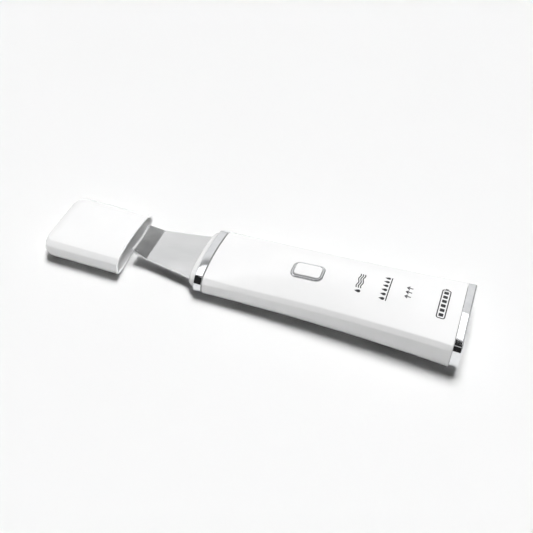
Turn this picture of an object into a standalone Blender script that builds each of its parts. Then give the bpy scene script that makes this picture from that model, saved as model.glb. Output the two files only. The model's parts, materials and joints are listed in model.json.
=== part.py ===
"""Ultrasonic skin scrubber: handset with its blade, and the protective cap pulled off in front of it.

Frame: +X runs along the handset towards its tail, +Y across it, +Z up from the surface that it
lies on. The origin is on that surface, under the seam between the chrome head ring and the shells.
"""
import math

import bmesh
import bpy
from mathutils import Vector

MM = 0.001

# ---------------------------------------------------------------- driving dimensions, millimetres
GAP = 0.3                 # clearance between neighbouring solids
LENGTH = 118.0            # shells, from the head ring to the tail cap
HEAD_HALF_WIDTH = 20.0
TAIL_HALF_WIDTH = 22.0
WAIST = 1.15              # how far the sides draw in between head and tail
HEAD_HEIGHT = 10.45
TAIL_HEIGHT = 16.0
CROWN = 3.2               # how far the top domes up between head and tail
FLAT_HALF = 7.0           # half width of the flat strip along the back
CORNER_POWER = 2.6        # exponent of the rounded lower corners of every cross-section
BELLY_Z = (4.9, 5.0, 1.4)        # level of the widest line: head, tail, rise between them
EDGE_IN = 1.2                    # where the side meets the bevel, inward from the widest line
EDGE_Z = (8.3, 13.0, 0.35)       # its level: head, tail, rise between them
SHOULDER_IN = 3.0                # where the bevel meets the domed top
SHOULDER_HEAD_IN = 1.0           # how much further in that line runs at the head
SHOULDER_REACH = 30.0            # distance from the head over which it does so
SHOULDER_Z = (10.1, 15.1, 0.4)   # its level: head, tail, rise between them
EDGE_SOFT = 0.55                 # how far both edges are rounded off along each face
SAG = 1.25                # bow, in plan, of the head ring and of the cap's mouth
SAG_REACH = 24.0          # distance from the mouth line over which the bow fades out
WALL = 1.6
SPLIT_Z = 3.2             # parting plane between the two shells
LIP = 1.0                 # height of the back shell's inner lip
TAIL_CAP_LENGTH = 4.2
TAIL_CAP_WALL = 1.4
TAIL_ROUNDING = 0.95
TAIL_STEP = 0.35          # how far the end cap's sides stand in from the shells' sides
TAIL_LIFT = 1.1           # how far its underside stands up from the shells' back
RING_LENGTH = 4.1
RING_WALL = 1.3
COLLAR_LENGTH = 4.0
COLLAR_INSET = 1.8
COLLAR_NARROWS = 2.3      # how far the rounded nose draws in at the sides
COLLAR_THINS = 2.1        # how far it draws in above and below
COLLAR_SIDE_BACK = 0.4    # share of its length by which the nose's sides fall behind its middle

BLADE_Z = 4.9             # mid-plane of the blade
BLADE_THICK = 1.2
BLADE_ROOT_X = -8.5
BLADE_BEND_X = -33.1
BLADE_TIP_X = -42.0
BLADE_ROOT_HALF = 14.7
BLADE_BEND_HALF = 10.6
BLADE_TIP_HALF = 9.3
BLADE_TIP_ANGLE = 16.0
BLADE_TIP_HOLLOW = 0.75   # how far the tip edge is hollowed in plan
BLADE_TIP_CORNER = 0.9    # how far the tip's corners are taken in
BEND_SOFT = 0.9           # reach of the bend on each side of its line
BEND_LIFT = 0.28          # share of that reach's rise taken up at the line itself
FLARE_CURVE = 0.18        # how far the flare towards the root is curved rather than straight
TANG_HALF = 11.0
TANG_END_X = 27.0
TANG_CORNER = 1.5
SLOT_SIDE_GAP = 0.55      # clearance beside the blade in the nose's slot

PIEZO_LENGTH = 16.0
PIEZO_HALF = 8.0
PIEZO_THICK = 1.2
PIEZO_X = 6.5
GROMMET_START = 1.6
GROMMET_LENGTH = 3.0
CLAMP_X = 22.9
CLAMP_LENGTH = 5.2
CLAMP_HALF = 14.4
CLAMP_SCREW_Y = 12.7
CLAMP_FLOOR = 2.7
STRAP_THICK = 2.2
CLAMP_PAD_Y = 8.0
CLAMP_PAD_HALF = 2.0

SCREW_HEAD = 1.8          # radius of a screw's head
SCREW_CROWN = 1.2         # radius of its flat crown, and the head's height
SCREW_RIM = 0.7           # height of the head's rim
SCREW_SHANK = 0.78        # radius of its shank
RECESS_LONG = 0.9         # half length, half width and depth of one arm of the cross recess
RECESS_SHORT = 0.2
RECESS_DEPTH = 0.5
PILOT = 1.1               # radius of a hole that the screw bites into
CLEAR_HOLE = 1.3          # radius of a hole that it passes through
BOARD_HOLE = 1.2
CLAMP_SHANK = 4.9
BOARD_SHANK = 4.8
PLATE_SHANK = 5.2

CAP_MOUTH_X = -42.8
CAP_ASIDE = -3.0          # the cap lies this far to the near side of the handset's axis
CAP_LENGTH = 42.6
CAP_WALL = 1.4
CAP_CORNER = 6.6          # plan radius of the cap's closed end
CAP_THINS = 0.45          # share of that rounding which also draws in the top and the back

BUTTON_X = 46.5
BUTTON_LENGTH = 12.7
BUTTON_WIDTH = 7.4
BUTTON_CORNER = 1.7
BUTTON_RISE = 0.85        # how far the key stands over the housing
BUTTON_CHAMFER = 0.35
BUTTON_BASE = 2.6         # depth of the key's body under the housing's top
FLANGE_TOP = 2.3          # levels of the retaining flange under the housing's top
FLANGE_BOTTOM = 2.9
FLANGE_WIDER = 1.2
STEM_RADIUS = 1.5
BEZEL_WIDTH = 0.8
BEZEL_DEPTH = 2.0
BEZEL_RISE = 0.12

BOARD_TOP = 9.0
BOARD_THICK = 1.2
BOARD_START = 33.0
BOARD_END = 106.0
BOARD_HALF = 14.6
BOARD_TONGUE_HALF = 7.0
BOARD_SCREWS = [(37.0, 11.8), (37.0, -11.8), (102.5, 11.8), (102.5, -11.8)]
POST_RADIUS = 2.4
ROOT_Z = 1.2              # level, inside the wall, from which posts and blocks grow
FLOOR = WALL + GAP        # lowest level that an inner piece may take

PLATE_X = 115.2
PLATE_THICK = 2.0
PLATE_SCREWS = [15.0, -15.0]
PLATE_SCREW_Z = 6.2
BLOCK_LENGTH = 7.0
BLOCK_HALF = 2.6

SWITCH_HALF = 3.0
SWITCH_BASE = BOARD_TOP + GAP
SWITCH_TOP = SWITCH_BASE + 2.5
WELL_RADIUS = 1.9
WELL_FLOOR = SWITCH_BASE + 0.5
PLUNGER_RADIUS = 1.6
PLUNGER_BASE = SWITCH_BASE + 1.4
PLUNGER_TOP = SWITCH_TOP + 0.7

SOCKET_HALF_WIDTH = 4.5
SOCKET_HALF_HEIGHT = 1.6
SOCKET_CORNER = 1.5
SOCKET_WALL = 0.35
SOCKET_Z = BOARD_TOP + GAP + SOCKET_HALF_HEIGHT
SOCKET_START = 111.0
TONGUE_HALF = 3.3
TONGUE_HALF_THICK = 0.3

CELL_START = 58.0
CELL_END = 98.0
CELL_HALF = 8.8
CELL_THICK = 5.0
CELL_CORNER = 1.2
PAD_END = 6.0             # how far the foam pad ends short of the cell
PAD_HALF = 6.0

CHIP_X = (57.0, 63.0)
CHIP_HALF = 3.0
CHIP_TALL = 1.4
LED_PLACES = (71.3, 82.9, 93.6)
LED_HALF = (0.8, 0.6)
LED_TALL = 0.8
CAPACITOR_PLACE = (66.0, 9.5)
COIL_PLACE = (66.0, -9.5)
WINDING_PLACE = (80.0, -9.1)
LEAD_RADIUS = 0.55
CELL_LEAD_Y = 3.0
PIEZO_LEAD_Y = 4.0

# ---------------------------------------------------------------- materials
MATERIALS = {
    "white_gloss": ((0.93, 0.93, 0.93), 0.18, 0.0),
    "chrome": ((0.78, 0.79, 0.80), 0.05, 1.0),
    "steel": ((0.62, 0.63, 0.64), 0.32, 1.0),
    "silicone": ((0.80, 0.80, 0.78), 0.7, 0.0),
    "ceramic": ((0.55, 0.52, 0.45), 0.5, 0.0),
    "nylon": ((0.16, 0.16, 0.17), 0.55, 0.0),
    "board_green": ((0.03, 0.20, 0.10), 0.5, 0.0),
    "cell_silver": ((0.62, 0.64, 0.66), 0.4, 0.0),
    "foam": ((0.12, 0.12, 0.13), 0.95, 0.0),
    "epoxy_black": ((0.03, 0.03, 0.035), 0.5, 0.0),
    "led_clear": ((0.85, 0.90, 0.95), 0.25, 0.0),
    "zinc": ((0.66, 0.67, 0.68), 0.35, 1.0),
    "copper_winding": ((0.62, 0.30, 0.14), 0.4, 0.0),
    "wire_red": ((0.60, 0.05, 0.04), 0.5, 0.0),
    "wire_black": ((0.03, 0.03, 0.03), 0.5, 0.0),
}


def clear_scene():
    """Empties the file of everything that stands in it."""
    for item in list(bpy.data.objects):
        bpy.data.objects.remove(item, do_unlink=True)


def material(name):
    """Returns the named material, made on first use from its colour, roughness and metallic value."""
    found = bpy.data.materials.get(name)
    if found:
        return found
    colour, roughness, metallic = MATERIALS[name]
    made = bpy.data.materials.new(name)
    made.use_nodes = True
    shader = made.node_tree.nodes["Principled BSDF"]
    shader.inputs["Base Color"].default_value = (*colour, 1.0)
    shader.inputs["Roughness"].default_value = roughness
    shader.inputs["Metallic"].default_value = metallic
    return made


def add_object(name, mesh_data, slot, origin=(0.0, 0.0, 0.0), smooth=True):
    """Turns a bmesh in millimetres into an object in metres, with its origin at the given point."""
    start = Vector(origin)
    for vert in mesh_data.verts:
        vert.co = (vert.co - start) * MM
    bmesh.ops.recalc_face_normals(mesh_data, faces=mesh_data.faces)
    mesh = bpy.data.meshes.new(name)
    mesh_data.to_mesh(mesh)
    mesh_data.free()
    mesh.materials.append(material(slot))
    if smooth:
        mesh.shade_smooth()
        mesh.set_sharp_from_angle(angle=math.radians(32))
    made = bpy.data.objects.new(name, mesh)
    made.location = start * MM
    bpy.context.scene.collection.objects.link(made)
    return made


def combine(target, other, operation):
    """Adds a Boolean modifier to target and hides the other object as a guide."""
    modifier = target.modifiers.new(other.name, "BOOLEAN")
    modifier.operation = operation
    modifier.solver = "EXACT"
    modifier.object = other
    other.hide_render = True
    other.display_type = "WIRE"
    return target


def cut(target, cutter):
    """Takes the cutter's volume out of target."""
    return combine(target, cutter, "DIFFERENCE")


def join(target, other):
    """Fuses another solid into target."""
    return combine(target, other, "UNION")


# ---------------------------------------------------------------- housing form
def share_along(x):
    """Position along the shells, 0 at the head and 1 at the tail; constant forward of the seam."""
    return max(x, 0.0) / LENGTH


def along(levels, x):
    """A level that runs from head to tail with a rise between them."""
    u = share_along(x)
    return levels[0] + (levels[1] - levels[0]) * u + 4.0 * levels[2] * u * (1.0 - u)


def half_width(x):
    """Half width of the housing at x."""
    return along((HEAD_HALF_WIDTH, TAIL_HALF_WIDTH, -WAIST), x)


def height(x):
    """Height of the housing's top above its flat back at x."""
    return along((HEAD_HEIGHT, TAIL_HEIGHT, CROWN), x)


def bowed(x, y, mouth=0.0):
    """Moves a point along X by the plan bow, which fades out behind the given mouth line."""
    fade = 1.0 - min(abs(x - mouth) / SAG_REACH, 1.0)
    return x - SAG * (1.0 - (y / HEAD_HALF_WIDTH) ** 2) * fade * fade * (3.0 - 2.0 * fade)


def curve(start, control, end, count, first=0):
    """Points of a quadratic curve from start to end; first=1 leaves the start out."""
    points = []
    for i in range(first, count):
        t = i / (count - 1)
        shares = ((1.0 - t) ** 2, 2.0 * t * (1.0 - t), t * t)
        points.append(tuple(
            shares[0] * a + shares[1] * b + shares[2] * c for a, b, c in zip(start, control, end)
        ))
    return points


def towards(start, end, distance):
    """The point at a distance from start in the direction of end."""
    length = math.dist(start, end)
    return tuple(a + (b - a) * distance / length for a, b in zip(start, end))


def lower_corner(marks, start, end, count):
    """The rounded lower corner, from one level up to another."""
    half, low, belly = marks[:3]
    flat = marks[-1]
    power = 2.0 / CORNER_POWER
    turns = [math.acos(min(((belly - z) / (belly - low)) ** (1.0 / power), 1.0)) for z in (start, end)]
    points = []
    for angle in stations(turns[0], turns[1], count):
        y = flat + (half - flat) * math.sin(angle) ** power
        points.append((y, belly - (belly - low) * max(math.cos(angle), 0.0) ** power))
    return points


def upper_side(marks, count):
    """The side above the belly, the bevel with both its edges rounded off, and the domed top."""
    half, low, belly, top, edge, shoulder, flat = marks
    upright = (half, belly + 0.2 * (edge[1] - belly))
    points = curve((half, belly), upright, towards(edge, upright, EDGE_SOFT), 3, first=1)
    points += curve(points[-1], edge, towards(edge, shoulder, EDGE_SOFT), 3, first=1)
    slope = 2.0 * (top - shoulder[1]) / shoulder[0]
    reach = EDGE_SOFT / math.hypot(1.0, slope)
    dome = []
    for i in range(count):
        y = (shoulder[0] - reach) * (1.0 - i / (count - 1))
        dome.append((y, top - (top - shoulder[1]) * (y / shoulder[0]) ** 2))
    points += curve(towards(shoulder, edge, EDGE_SOFT), shoulder, dome[0], 3)
    return points + dome[1:]


def half_section(marks, count=7):
    """Right half of a cross-section, from the back's flat strip up to the middle of the top.

    The marks are the half width, the levels of back, belly and top, the (y, z) points where the
    side meets the bevel and where the bevel meets the dome, and the flat strip's half width.
    """
    return lower_corner(marks, marks[1], marks[2], count) + upper_side(marks, count)


def housing_marks(x, inset):
    """Marks of the housing's cross-section at x, set in square to each face by a wall."""
    half = half_width(x)
    edge = (half - EDGE_IN - 0.9 * inset, along(EDGE_Z, x) - 0.45 * inset)
    further = SHOULDER_HEAD_IN * (1.0 - min(max(x, 0.0) / SHOULDER_REACH, 1.0)) ** 2
    shoulder = (half - SHOULDER_IN - further - 0.6 * inset, along(SHOULDER_Z, x) - 0.85 * inset)
    return half - inset, inset, along(BELLY_Z, x), height(x) - inset, edge, shoulder, FLAT_HALF


def whole_section(marks, count=7):
    """A closed cross-section as (y, z) points."""
    right = half_section(marks, count)
    return right + [(-y, z) for y, z in reversed(right[:-1])]


def across(right, shared_end=False):
    """A chain from the left edge to the right edge, mirrored from one running outwards."""
    left = [(-y, z) for y, z in reversed(right)]
    return (left[:-1] if shared_end else left) + right


def stations(start, end, count):
    """Evenly spaced positions, ends included."""
    return [start + (end - start) * i / (count - 1) for i in range(count)]


def skin(made, rows):
    """Joins neighbouring rows of vertices, each a closed ring, with quads."""
    size = len(rows[0])
    for near, far in zip(rows, rows[1:]):
        for i in range(size):
            j = (i + 1) % size
            made.faces.new((near[i], near[j], far[j], far[i]))


def loft(rings):
    """A closed solid skinned over a list of equal rings of points."""
    made = bmesh.new()
    rows = [[made.verts.new(point) for point in ring] for ring in rings]
    skin(made, rows)
    ends = [made.faces.new(rows[0]), made.faces.new(rows[-1])]
    bmesh.ops.triangulate(made, faces=ends, ngon_method="EAR_CLIP")
    return made


def channel(sections):
    """A closed solid skinned over open channel sections, each an outer and an inner chain of points.

    Both chains of a section run the same way, from one edge of the channel to the other. The two
    end faces are zipped from the shorter diagonals, so that they stay inside the wall.
    """
    made = bmesh.new()
    split = len(sections[0][0])
    rows = [[made.verts.new(p) for p in outer + inner[::-1]] for outer, inner in sections]
    skin(made, rows)
    for row in (rows[0], rows[-1]):
        outer = row[:split]
        inner = row[split:][::-1]
        a = 0
        b = 0
        while a < len(outer) - 1 or b < len(inner) - 1:
            along_outer = math.inf
            along_inner = math.inf
            if a < len(outer) - 1:
                along_outer = (outer[a + 1].co - inner[b].co).length
            if b < len(inner) - 1:
                along_inner = (outer[a].co - inner[b + 1].co).length
            if along_outer <= along_inner:
                made.faces.new((outer[a], outer[a + 1], inner[b]))
                a += 1
            else:
                made.faces.new((outer[a], inner[b + 1], inner[b]))
                b += 1
    return made


def tube(outer, inner):
    """A closed sleeve between an outer and an inner list of equal rings."""
    made = bmesh.new()
    skins = [[[made.verts.new(p) for p in ring] for ring in rings] for rings in (outer, inner)]
    for rows in skins:
        skin(made, rows)
    for end in (0, -1):
        skin(made, [skins[0][end], skins[1][end]])
    return made


def ring_at(x, section, mouth=0.0):
    """Lifts a cross-section into space at x, bowed in plan."""
    return [(bowed(x, y, mouth), y, z) for y, z in section]


# ---------------------------------------------------------------- plain solids
def box(low, high):
    """A box between two corners."""
    made = bmesh.new()
    bmesh.ops.create_cube(made, size=1.0)
    for vert in made.verts:
        vert.co = Vector([
            (low[i] + high[i]) / 2.0 + vert.co[i] * (high[i] - low[i]) for i in range(3)
        ])
    return made


def rounded_outline(length, width, radius, count=5):
    """A rounded rectangle about the origin, as (x, y) points."""
    points = []
    for turn in range(4):
        sign_x = 1 if turn in (0, 3) else -1
        sign_y = 1 if turn in (0, 1) else -1
        centre_x = sign_x * (length / 2.0 - radius)
        centre_y = sign_y * (width / 2.0 - radius)
        for i in range(count):
            angle = math.pi / 2 * (turn + i / (count - 1))
            points.append((centre_x + radius * math.cos(angle), centre_y + radius * math.sin(angle)))
    return points


def cylinder(centre, radius, low, high, axis="Z", count=24):
    """A round solid along Z or X; centre gives the other two coordinates."""
    rings = []
    for level in (low, high):
        ring = []
        for i in range(count):
            angle = 2.0 * math.pi * i / count
            a = centre[0] + radius * math.cos(angle)
            b = centre[1] + radius * math.sin(angle)
            ring.append((a, b, level) if axis == "Z" else (level, a, b))
        rings.append(ring)
    return loft(rings)


def turned(centre, profile, axis="Z", count=20):
    """A solid of revolution from (radius, level) points, bottom to top."""
    rings = []
    for radius, level in profile:
        ring = []
        for i in range(count):
            angle = 2.0 * math.pi * i / count
            a = centre[0] + radius * math.cos(angle)
            b = centre[1] + radius * math.sin(angle)
            ring.append((a, b, level) if axis == "Z" else (level, a, b))
        rings.append(ring)
    return loft(rings)


def wire(name, points, slot):
    """An insulated lead along a smooth curve through the given points."""
    path = []
    ends = [points[0]] + points + [points[-1]]
    for k in range(1, len(ends) - 2):
        a, b, c, d = (Vector(ends[k + i]) for i in (-1, 0, 1, 2))
        for i in range(5):
            t = i / 5.0
            square = (2 * a - 5 * b + 4 * c - d) * t * t
            cube = (3 * b - a - 3 * c + d) * t ** 3
            path.append(0.5 * (2 * b + (c - a) * t + square + cube))
    path.append(Vector(points[-1]))
    lead = bpy.data.curves.new(name, "CURVE")
    lead.dimensions = "3D"
    lead.bevel_depth = LEAD_RADIUS * MM
    lead.bevel_resolution = 2
    lead.use_fill_caps = True
    spline = lead.splines.new("POLY")
    spline.points.add(len(path) - 1)
    for point, place in zip(spline.points, path):
        point.co = (*(place * MM), 1.0)
    lead.materials.append(material(slot))
    made = bpy.data.objects.new(name, lead)
    bpy.context.scene.collection.objects.link(made)
    return made


# ---------------------------------------------------------------- casings
def top_section(x):
    """The top shell's cross-section: a deep channel with a rebate along both edges."""
    edge = SPLIT_Z + GAP / 2.0
    rebate_top = edge + LIP + GAP
    chains = []
    for inset, start in ((0.0, edge), (WALL, rebate_top)):
        marks = housing_marks(x, inset)
        chains.append(lower_corner(marks, start, marks[2], 4) + upper_side(marks, 7))
    outer, inner = chains
    rebate = inner[0][0] + WALL / 2.0 + GAP / 2.0
    inner = [(rebate, edge), (rebate, rebate_top)] + inner
    return across(outer[::-1], shared_end=True), across(inner[::-1], shared_end=True)


def back_section(x):
    """The back shell's cross-section: a shallow tray whose inner lip locates the top shell."""
    edge = SPLIT_Z - GAP / 2.0
    lip_top = edge + LIP + GAP
    outer = lower_corner(housing_marks(x, 0.0), 0.0, edge, 8)
    inner = lower_corner(housing_marks(x, WALL), WALL, lip_top, 8)
    shoulder = inner[-1][0] + WALL / 2.0 - GAP / 2.0
    inner = inner + [(shoulder, lip_top), (shoulder, edge)]
    return across(outer), across(inner)


def make_top_shell():
    """Domed front casing with the button's opening."""
    sections = [[ring_at(x, chain) for chain in top_section(x)] for x in stations(0.0, LENGTH, 19)]
    shell = add_object("top_shell", channel(sections), "white_gloss")
    opening = rounded_outline(
        BUTTON_LENGTH + 2 * GAP + 2 * BEZEL_WIDTH + 2 * GAP,
        BUTTON_WIDTH + 2 * GAP + 2 * BEZEL_WIDTH + 2 * GAP,
        BUTTON_CORNER + BEZEL_WIDTH + 2 * GAP,
    )
    opening = loft([on_top(opening, level) for level in (-4.0, 4.0)])
    return cut(shell, add_object("button_opening", opening, "nylon"))


def make_back_shell():
    """Flat-backed rear casing with the board's posts and the end plate's blocks."""
    sections = [[ring_at(x, chain) for chain in back_section(x)] for x in stations(0.0, LENGTH, 15)]
    shell = add_object("back_shell", channel(sections), "white_gloss")
    for number, (x, y) in enumerate(BOARD_SCREWS, 1):
        post = cylinder((x, y), POST_RADIUS, ROOT_Z, BOARD_TOP - BOARD_THICK - GAP, count=20)
        join(shell, add_object(f"post_{number}", post, "nylon"))
        hole = cylinder((x, y), PILOT, SPLIT_Z - 0.2, BOARD_TOP + 3.0, count=12)
        cut(shell, add_object(f"post_hole_{number}", hole, "nylon"))
    for number, y in enumerate(PLATE_SCREWS, 1):
        low = (PLATE_X - BLOCK_LENGTH, y - BLOCK_HALF, ROOT_Z)
        block = box(low, (PLATE_X - GAP, y + BLOCK_HALF, PLATE_SCREW_Z + POST_RADIUS))
        join(shell, add_object(f"block_{number}", block, "nylon"))
        start = PLATE_X - BLOCK_LENGTH + ROOT_Z
        hole = cylinder((y, PLATE_SCREW_Z), PILOT, start, PLATE_X + 1.0, axis="X", count=12)
        cut(shell, add_object(f"block_hole_{number}", hole, "nylon"))
    middle = CLAMP_X + CLAMP_LENGTH / 2.0
    for number, y in enumerate((CLAMP_PAD_Y, -CLAMP_PAD_Y), 1):
        low = (middle - CLAMP_PAD_HALF, y - CLAMP_PAD_HALF, ROOT_Z)
        high = (middle + CLAMP_PAD_HALF, y + CLAMP_PAD_HALF, CLAMP_FLOOR - GAP)
        join(shell, add_object(f"clamp_pad_{number}", box(low, high), "nylon"))
    return shell


def make_head_ring():
    """Chrome band round the head, flush with the shells."""
    outer = []
    inner = []
    for x in stations(-RING_LENGTH, -GAP, 3):
        outer.append(ring_at(x, whole_section(housing_marks(x, 0.0))))
        inner.append(ring_at(x, whole_section(housing_marks(x, RING_WALL))))
    return add_object("head_ring", tube(outer, inner), "chrome")


def nose_marks(turn):
    """Marks of the nose's cross-section; it draws in as it rounds over from 0 to a quarter turn."""
    half, low, belly, top, edge, shoulder, flat = housing_marks(0.0, COLLAR_INSET)
    past = 1.0 - math.cos(turn)
    share = 1.0 - COLLAR_THINS * past / (top - belly)
    levels = [belly + (z - belly) * share for z in (low, top, edge[1], shoulder[1])]
    side = COLLAR_NARROWS * past
    edge = (edge[0] - side, levels[2])
    shoulder = (shoulder[0] - side, levels[3])
    return half - side, levels[0], belly, levels[1], edge, shoulder, flat


def nose_ring(turn):
    """A ring of the nose at a turn; its sides reach less far forward than its middle."""
    reach = COLLAR_LENGTH * math.sin(turn)
    ring = ring_at(-RING_LENGTH - reach, whole_section(nose_marks(turn)))
    back = COLLAR_SIDE_BACK * reach
    return [(x + back * (y / HEAD_HALF_WIDTH) ** 4, y, z) for x, y, z in ring]


def make_nose_collar():
    """White nose that closes the head round the blade and locates the cap's mouth."""
    rings = [ring_at(-GAP - 0.1, whole_section(nose_marks(0.0)))]
    rings += [nose_ring(turn) for turn in stations(0.0, math.pi / 2, 7)]
    collar = add_object("nose_collar", loft(rings), "white_gloss")
    slot_half = BLADE_THICK / 2.0 + GAP
    slot_width = BLADE_ROOT_HALF + SLOT_SIDE_GAP
    slot = box((-20.0, -slot_width, BLADE_Z - slot_half), (5.0, slot_width, BLADE_Z + slot_half))
    return cut(collar, add_object("blade_slot", slot, "nylon"))


# ---------------------------------------------------------------- blade and transducer
def blade_half_width(x):
    """Half width of the blade in plan: a gentle flare from the bend to the root."""
    if x < BLADE_BEND_X:
        share = (x - BLADE_TIP_X) / (BLADE_BEND_X - BLADE_TIP_X)
        return BLADE_TIP_HALF + (BLADE_BEND_HALF - BLADE_TIP_HALF) * share
    share = min((x - BLADE_BEND_X) / (BLADE_ROOT_X - BLADE_BEND_X), 1.0)
    eased = share * (1.0 - FLARE_CURVE + FLARE_CURVE * share)
    return BLADE_BEND_HALF + (BLADE_ROOT_HALF - BLADE_BEND_HALF) * eased


def make_blade():
    """Spatula of sheet steel: bent-up tip, flared body and a narrower tang inside the head."""
    made = bmesh.new()
    outline = []
    for x in stations(BLADE_BEND_X + 3.0, BLADE_ROOT_X, 7):
        outline.append((x, blade_half_width(x)))
    outline.append((-5.2, BLADE_ROOT_HALF))
    outline.append((-4.2, BLADE_ROOT_HALF - 1.0))
    outline.append((-2.6, TANG_HALF + 0.6))
    outline.append((-1.6, TANG_HALF))
    outline.append((TANG_END_X - TANG_CORNER, TANG_HALF))
    outline.append((TANG_END_X, TANG_HALF - TANG_CORNER))
    # Across stations of the bent tip: x before bending, half width, and the lift of the bend.
    slope = math.tan(math.radians(BLADE_TIP_ANGLE))
    tip = []
    across_bend = (BLADE_BEND_X - BEND_SOFT, BLADE_BEND_X, BLADE_BEND_X + BEND_SOFT)
    for x in (BLADE_TIP_X, BLADE_TIP_X + BLADE_TIP_CORNER, *across_bend):
        half = blade_half_width(x)
        if x == BLADE_TIP_X:
            half -= BLADE_TIP_CORNER
        lift = max(BLADE_BEND_X - x, 0.0) * slope
        if x == BLADE_BEND_X:
            lift = BEND_SOFT * slope * BEND_LIFT
        tip.append((x, half, lift))
    rows = tip + [(x, half, 0.0) for x, half in outline]
    columns = 8
    layers = []
    for side in (-1, 1):
        grid = []
        for x, half, lift in rows:
            line = []
            for k in range(columns + 1):
                y = half * (2.0 * k / columns - 1.0)
                hollow = BLADE_TIP_HOLLOW * (1.0 - (y / half) ** 2) if x == BLADE_TIP_X else 0.0
                z = BLADE_Z + lift - hollow * slope + side * BLADE_THICK / 2.0
                line.append(made.verts.new((x + hollow, y, z)))
            grid.append(line)
        layers.append(grid)
    for grid in layers:
        for near, far in zip(grid, grid[1:]):
            for k in range(columns):
                made.faces.new((near[k], near[k + 1], far[k + 1], far[k]))
    low, high = layers
    for end in (0, -1):
        for k in range(columns):
            made.faces.new((low[end][k], low[end][k + 1], high[end][k + 1], high[end][k]))
    for k in (0, columns):
        for i in range(len(rows) - 1):
            made.faces.new((low[i][k], low[i + 1][k], high[i + 1][k], high[i][k]))
    return add_object("blade", made, "steel")


def make_transducer():
    """Two piezo plates bonded to the tang, the sealing grommet and the rear clamp with its screws."""
    over = BLADE_Z + BLADE_THICK / 2.0 + GAP
    under = BLADE_Z - BLADE_THICK / 2.0 - GAP
    upper = box((PIEZO_X, -PIEZO_HALF, over), (PIEZO_X + PIEZO_LENGTH, PIEZO_HALF, over + PIEZO_THICK))
    lower = box((PIEZO_X, -PIEZO_HALF, under - PIEZO_THICK), (PIEZO_X + PIEZO_LENGTH, PIEZO_HALF, under))
    add_object("piezo_plate_upper", upper, "ceramic", smooth=False)
    add_object("piezo_plate_lower", lower, "ceramic", smooth=False)
    rings = []
    for x in (GROMMET_START, GROMMET_START + GROMMET_LENGTH):
        section = whole_section(housing_marks(GROMMET_START, WALL + GAP + 0.1), count=5)
        rings.append([(x, y, z) for y, z in section])
    grommet = add_object("blade_grommet", loft(rings), "silicone")
    slot = box((0.0, -TANG_HALF - GAP, under), (6.0, TANG_HALF + GAP, over))
    cut(grommet, add_object("grommet_slot", slot, "nylon"))
    end = CLAMP_X + CLAMP_LENGTH
    base = box((CLAMP_X, -CLAMP_HALF, CLAMP_FLOOR), (end, CLAMP_HALF, under))
    base = add_object("clamp_base", base, "nylon")
    strap = box((CLAMP_X, -CLAMP_HALF, over), (end, CLAMP_HALF, over + STRAP_THICK))
    strap = add_object("clamp_strap", strap, "nylon")
    for number, y in enumerate((CLAMP_SCREW_Y, -CLAMP_SCREW_Y), 1):
        centre = (CLAMP_X + CLAMP_LENGTH / 2.0, y)
        hole = cylinder(centre, PILOT, CLAMP_FLOOR - 0.1, over + 1.8, count=12)
        cut(base, add_object(f"base_hole_{number}", hole, "nylon"))
        hole = cylinder(centre, CLEAR_HOLE, under, over + STRAP_THICK + 1.0, count=12)
        cut(strap, add_object(f"strap_hole_{number}", hole, "nylon"))
        make_screw(f"clamp_screw_{number}", centre, over + STRAP_THICK + GAP, CLAMP_SHANK)


def make_screw(name, centre, seat, shank, axis="Z"):
    """A pan-head screw with a cross recess; its shank runs from the seat against the axis."""
    top = seat + SCREW_CROWN
    profile = [(SCREW_SHANK, seat - shank), (SCREW_SHANK, seat), (SCREW_HEAD, seat)]
    profile += [(SCREW_HEAD, seat + SCREW_RIM), (SCREW_CROWN, top)]
    screw = add_object(name, turned(centre, profile, axis=axis), "zinc")
    arms = ((RECESS_LONG, RECESS_SHORT), (RECESS_SHORT, RECESS_LONG))
    for turn, (long, short) in enumerate(arms, 1):
        low = (centre[0] - long, centre[1] - short)
        high = (centre[0] + long, centre[1] + short)
        if axis == "Z":
            arm = box((*low, top - RECESS_DEPTH), (*high, top + 1.0))
        else:
            arm = box((top - RECESS_DEPTH, *low), (top + 1.0, *high))
        cut(screw, add_object(f"{name}_recess_{turn}", arm, "nylon"))
    return screw


# ---------------------------------------------------------------- button
def on_top(outline, offset):
    """Lays an outline about the key's centre on the housing's top, offset upwards."""
    return [(BUTTON_X + x, y, height(BUTTON_X + x) + offset) for x, y in outline]


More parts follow.
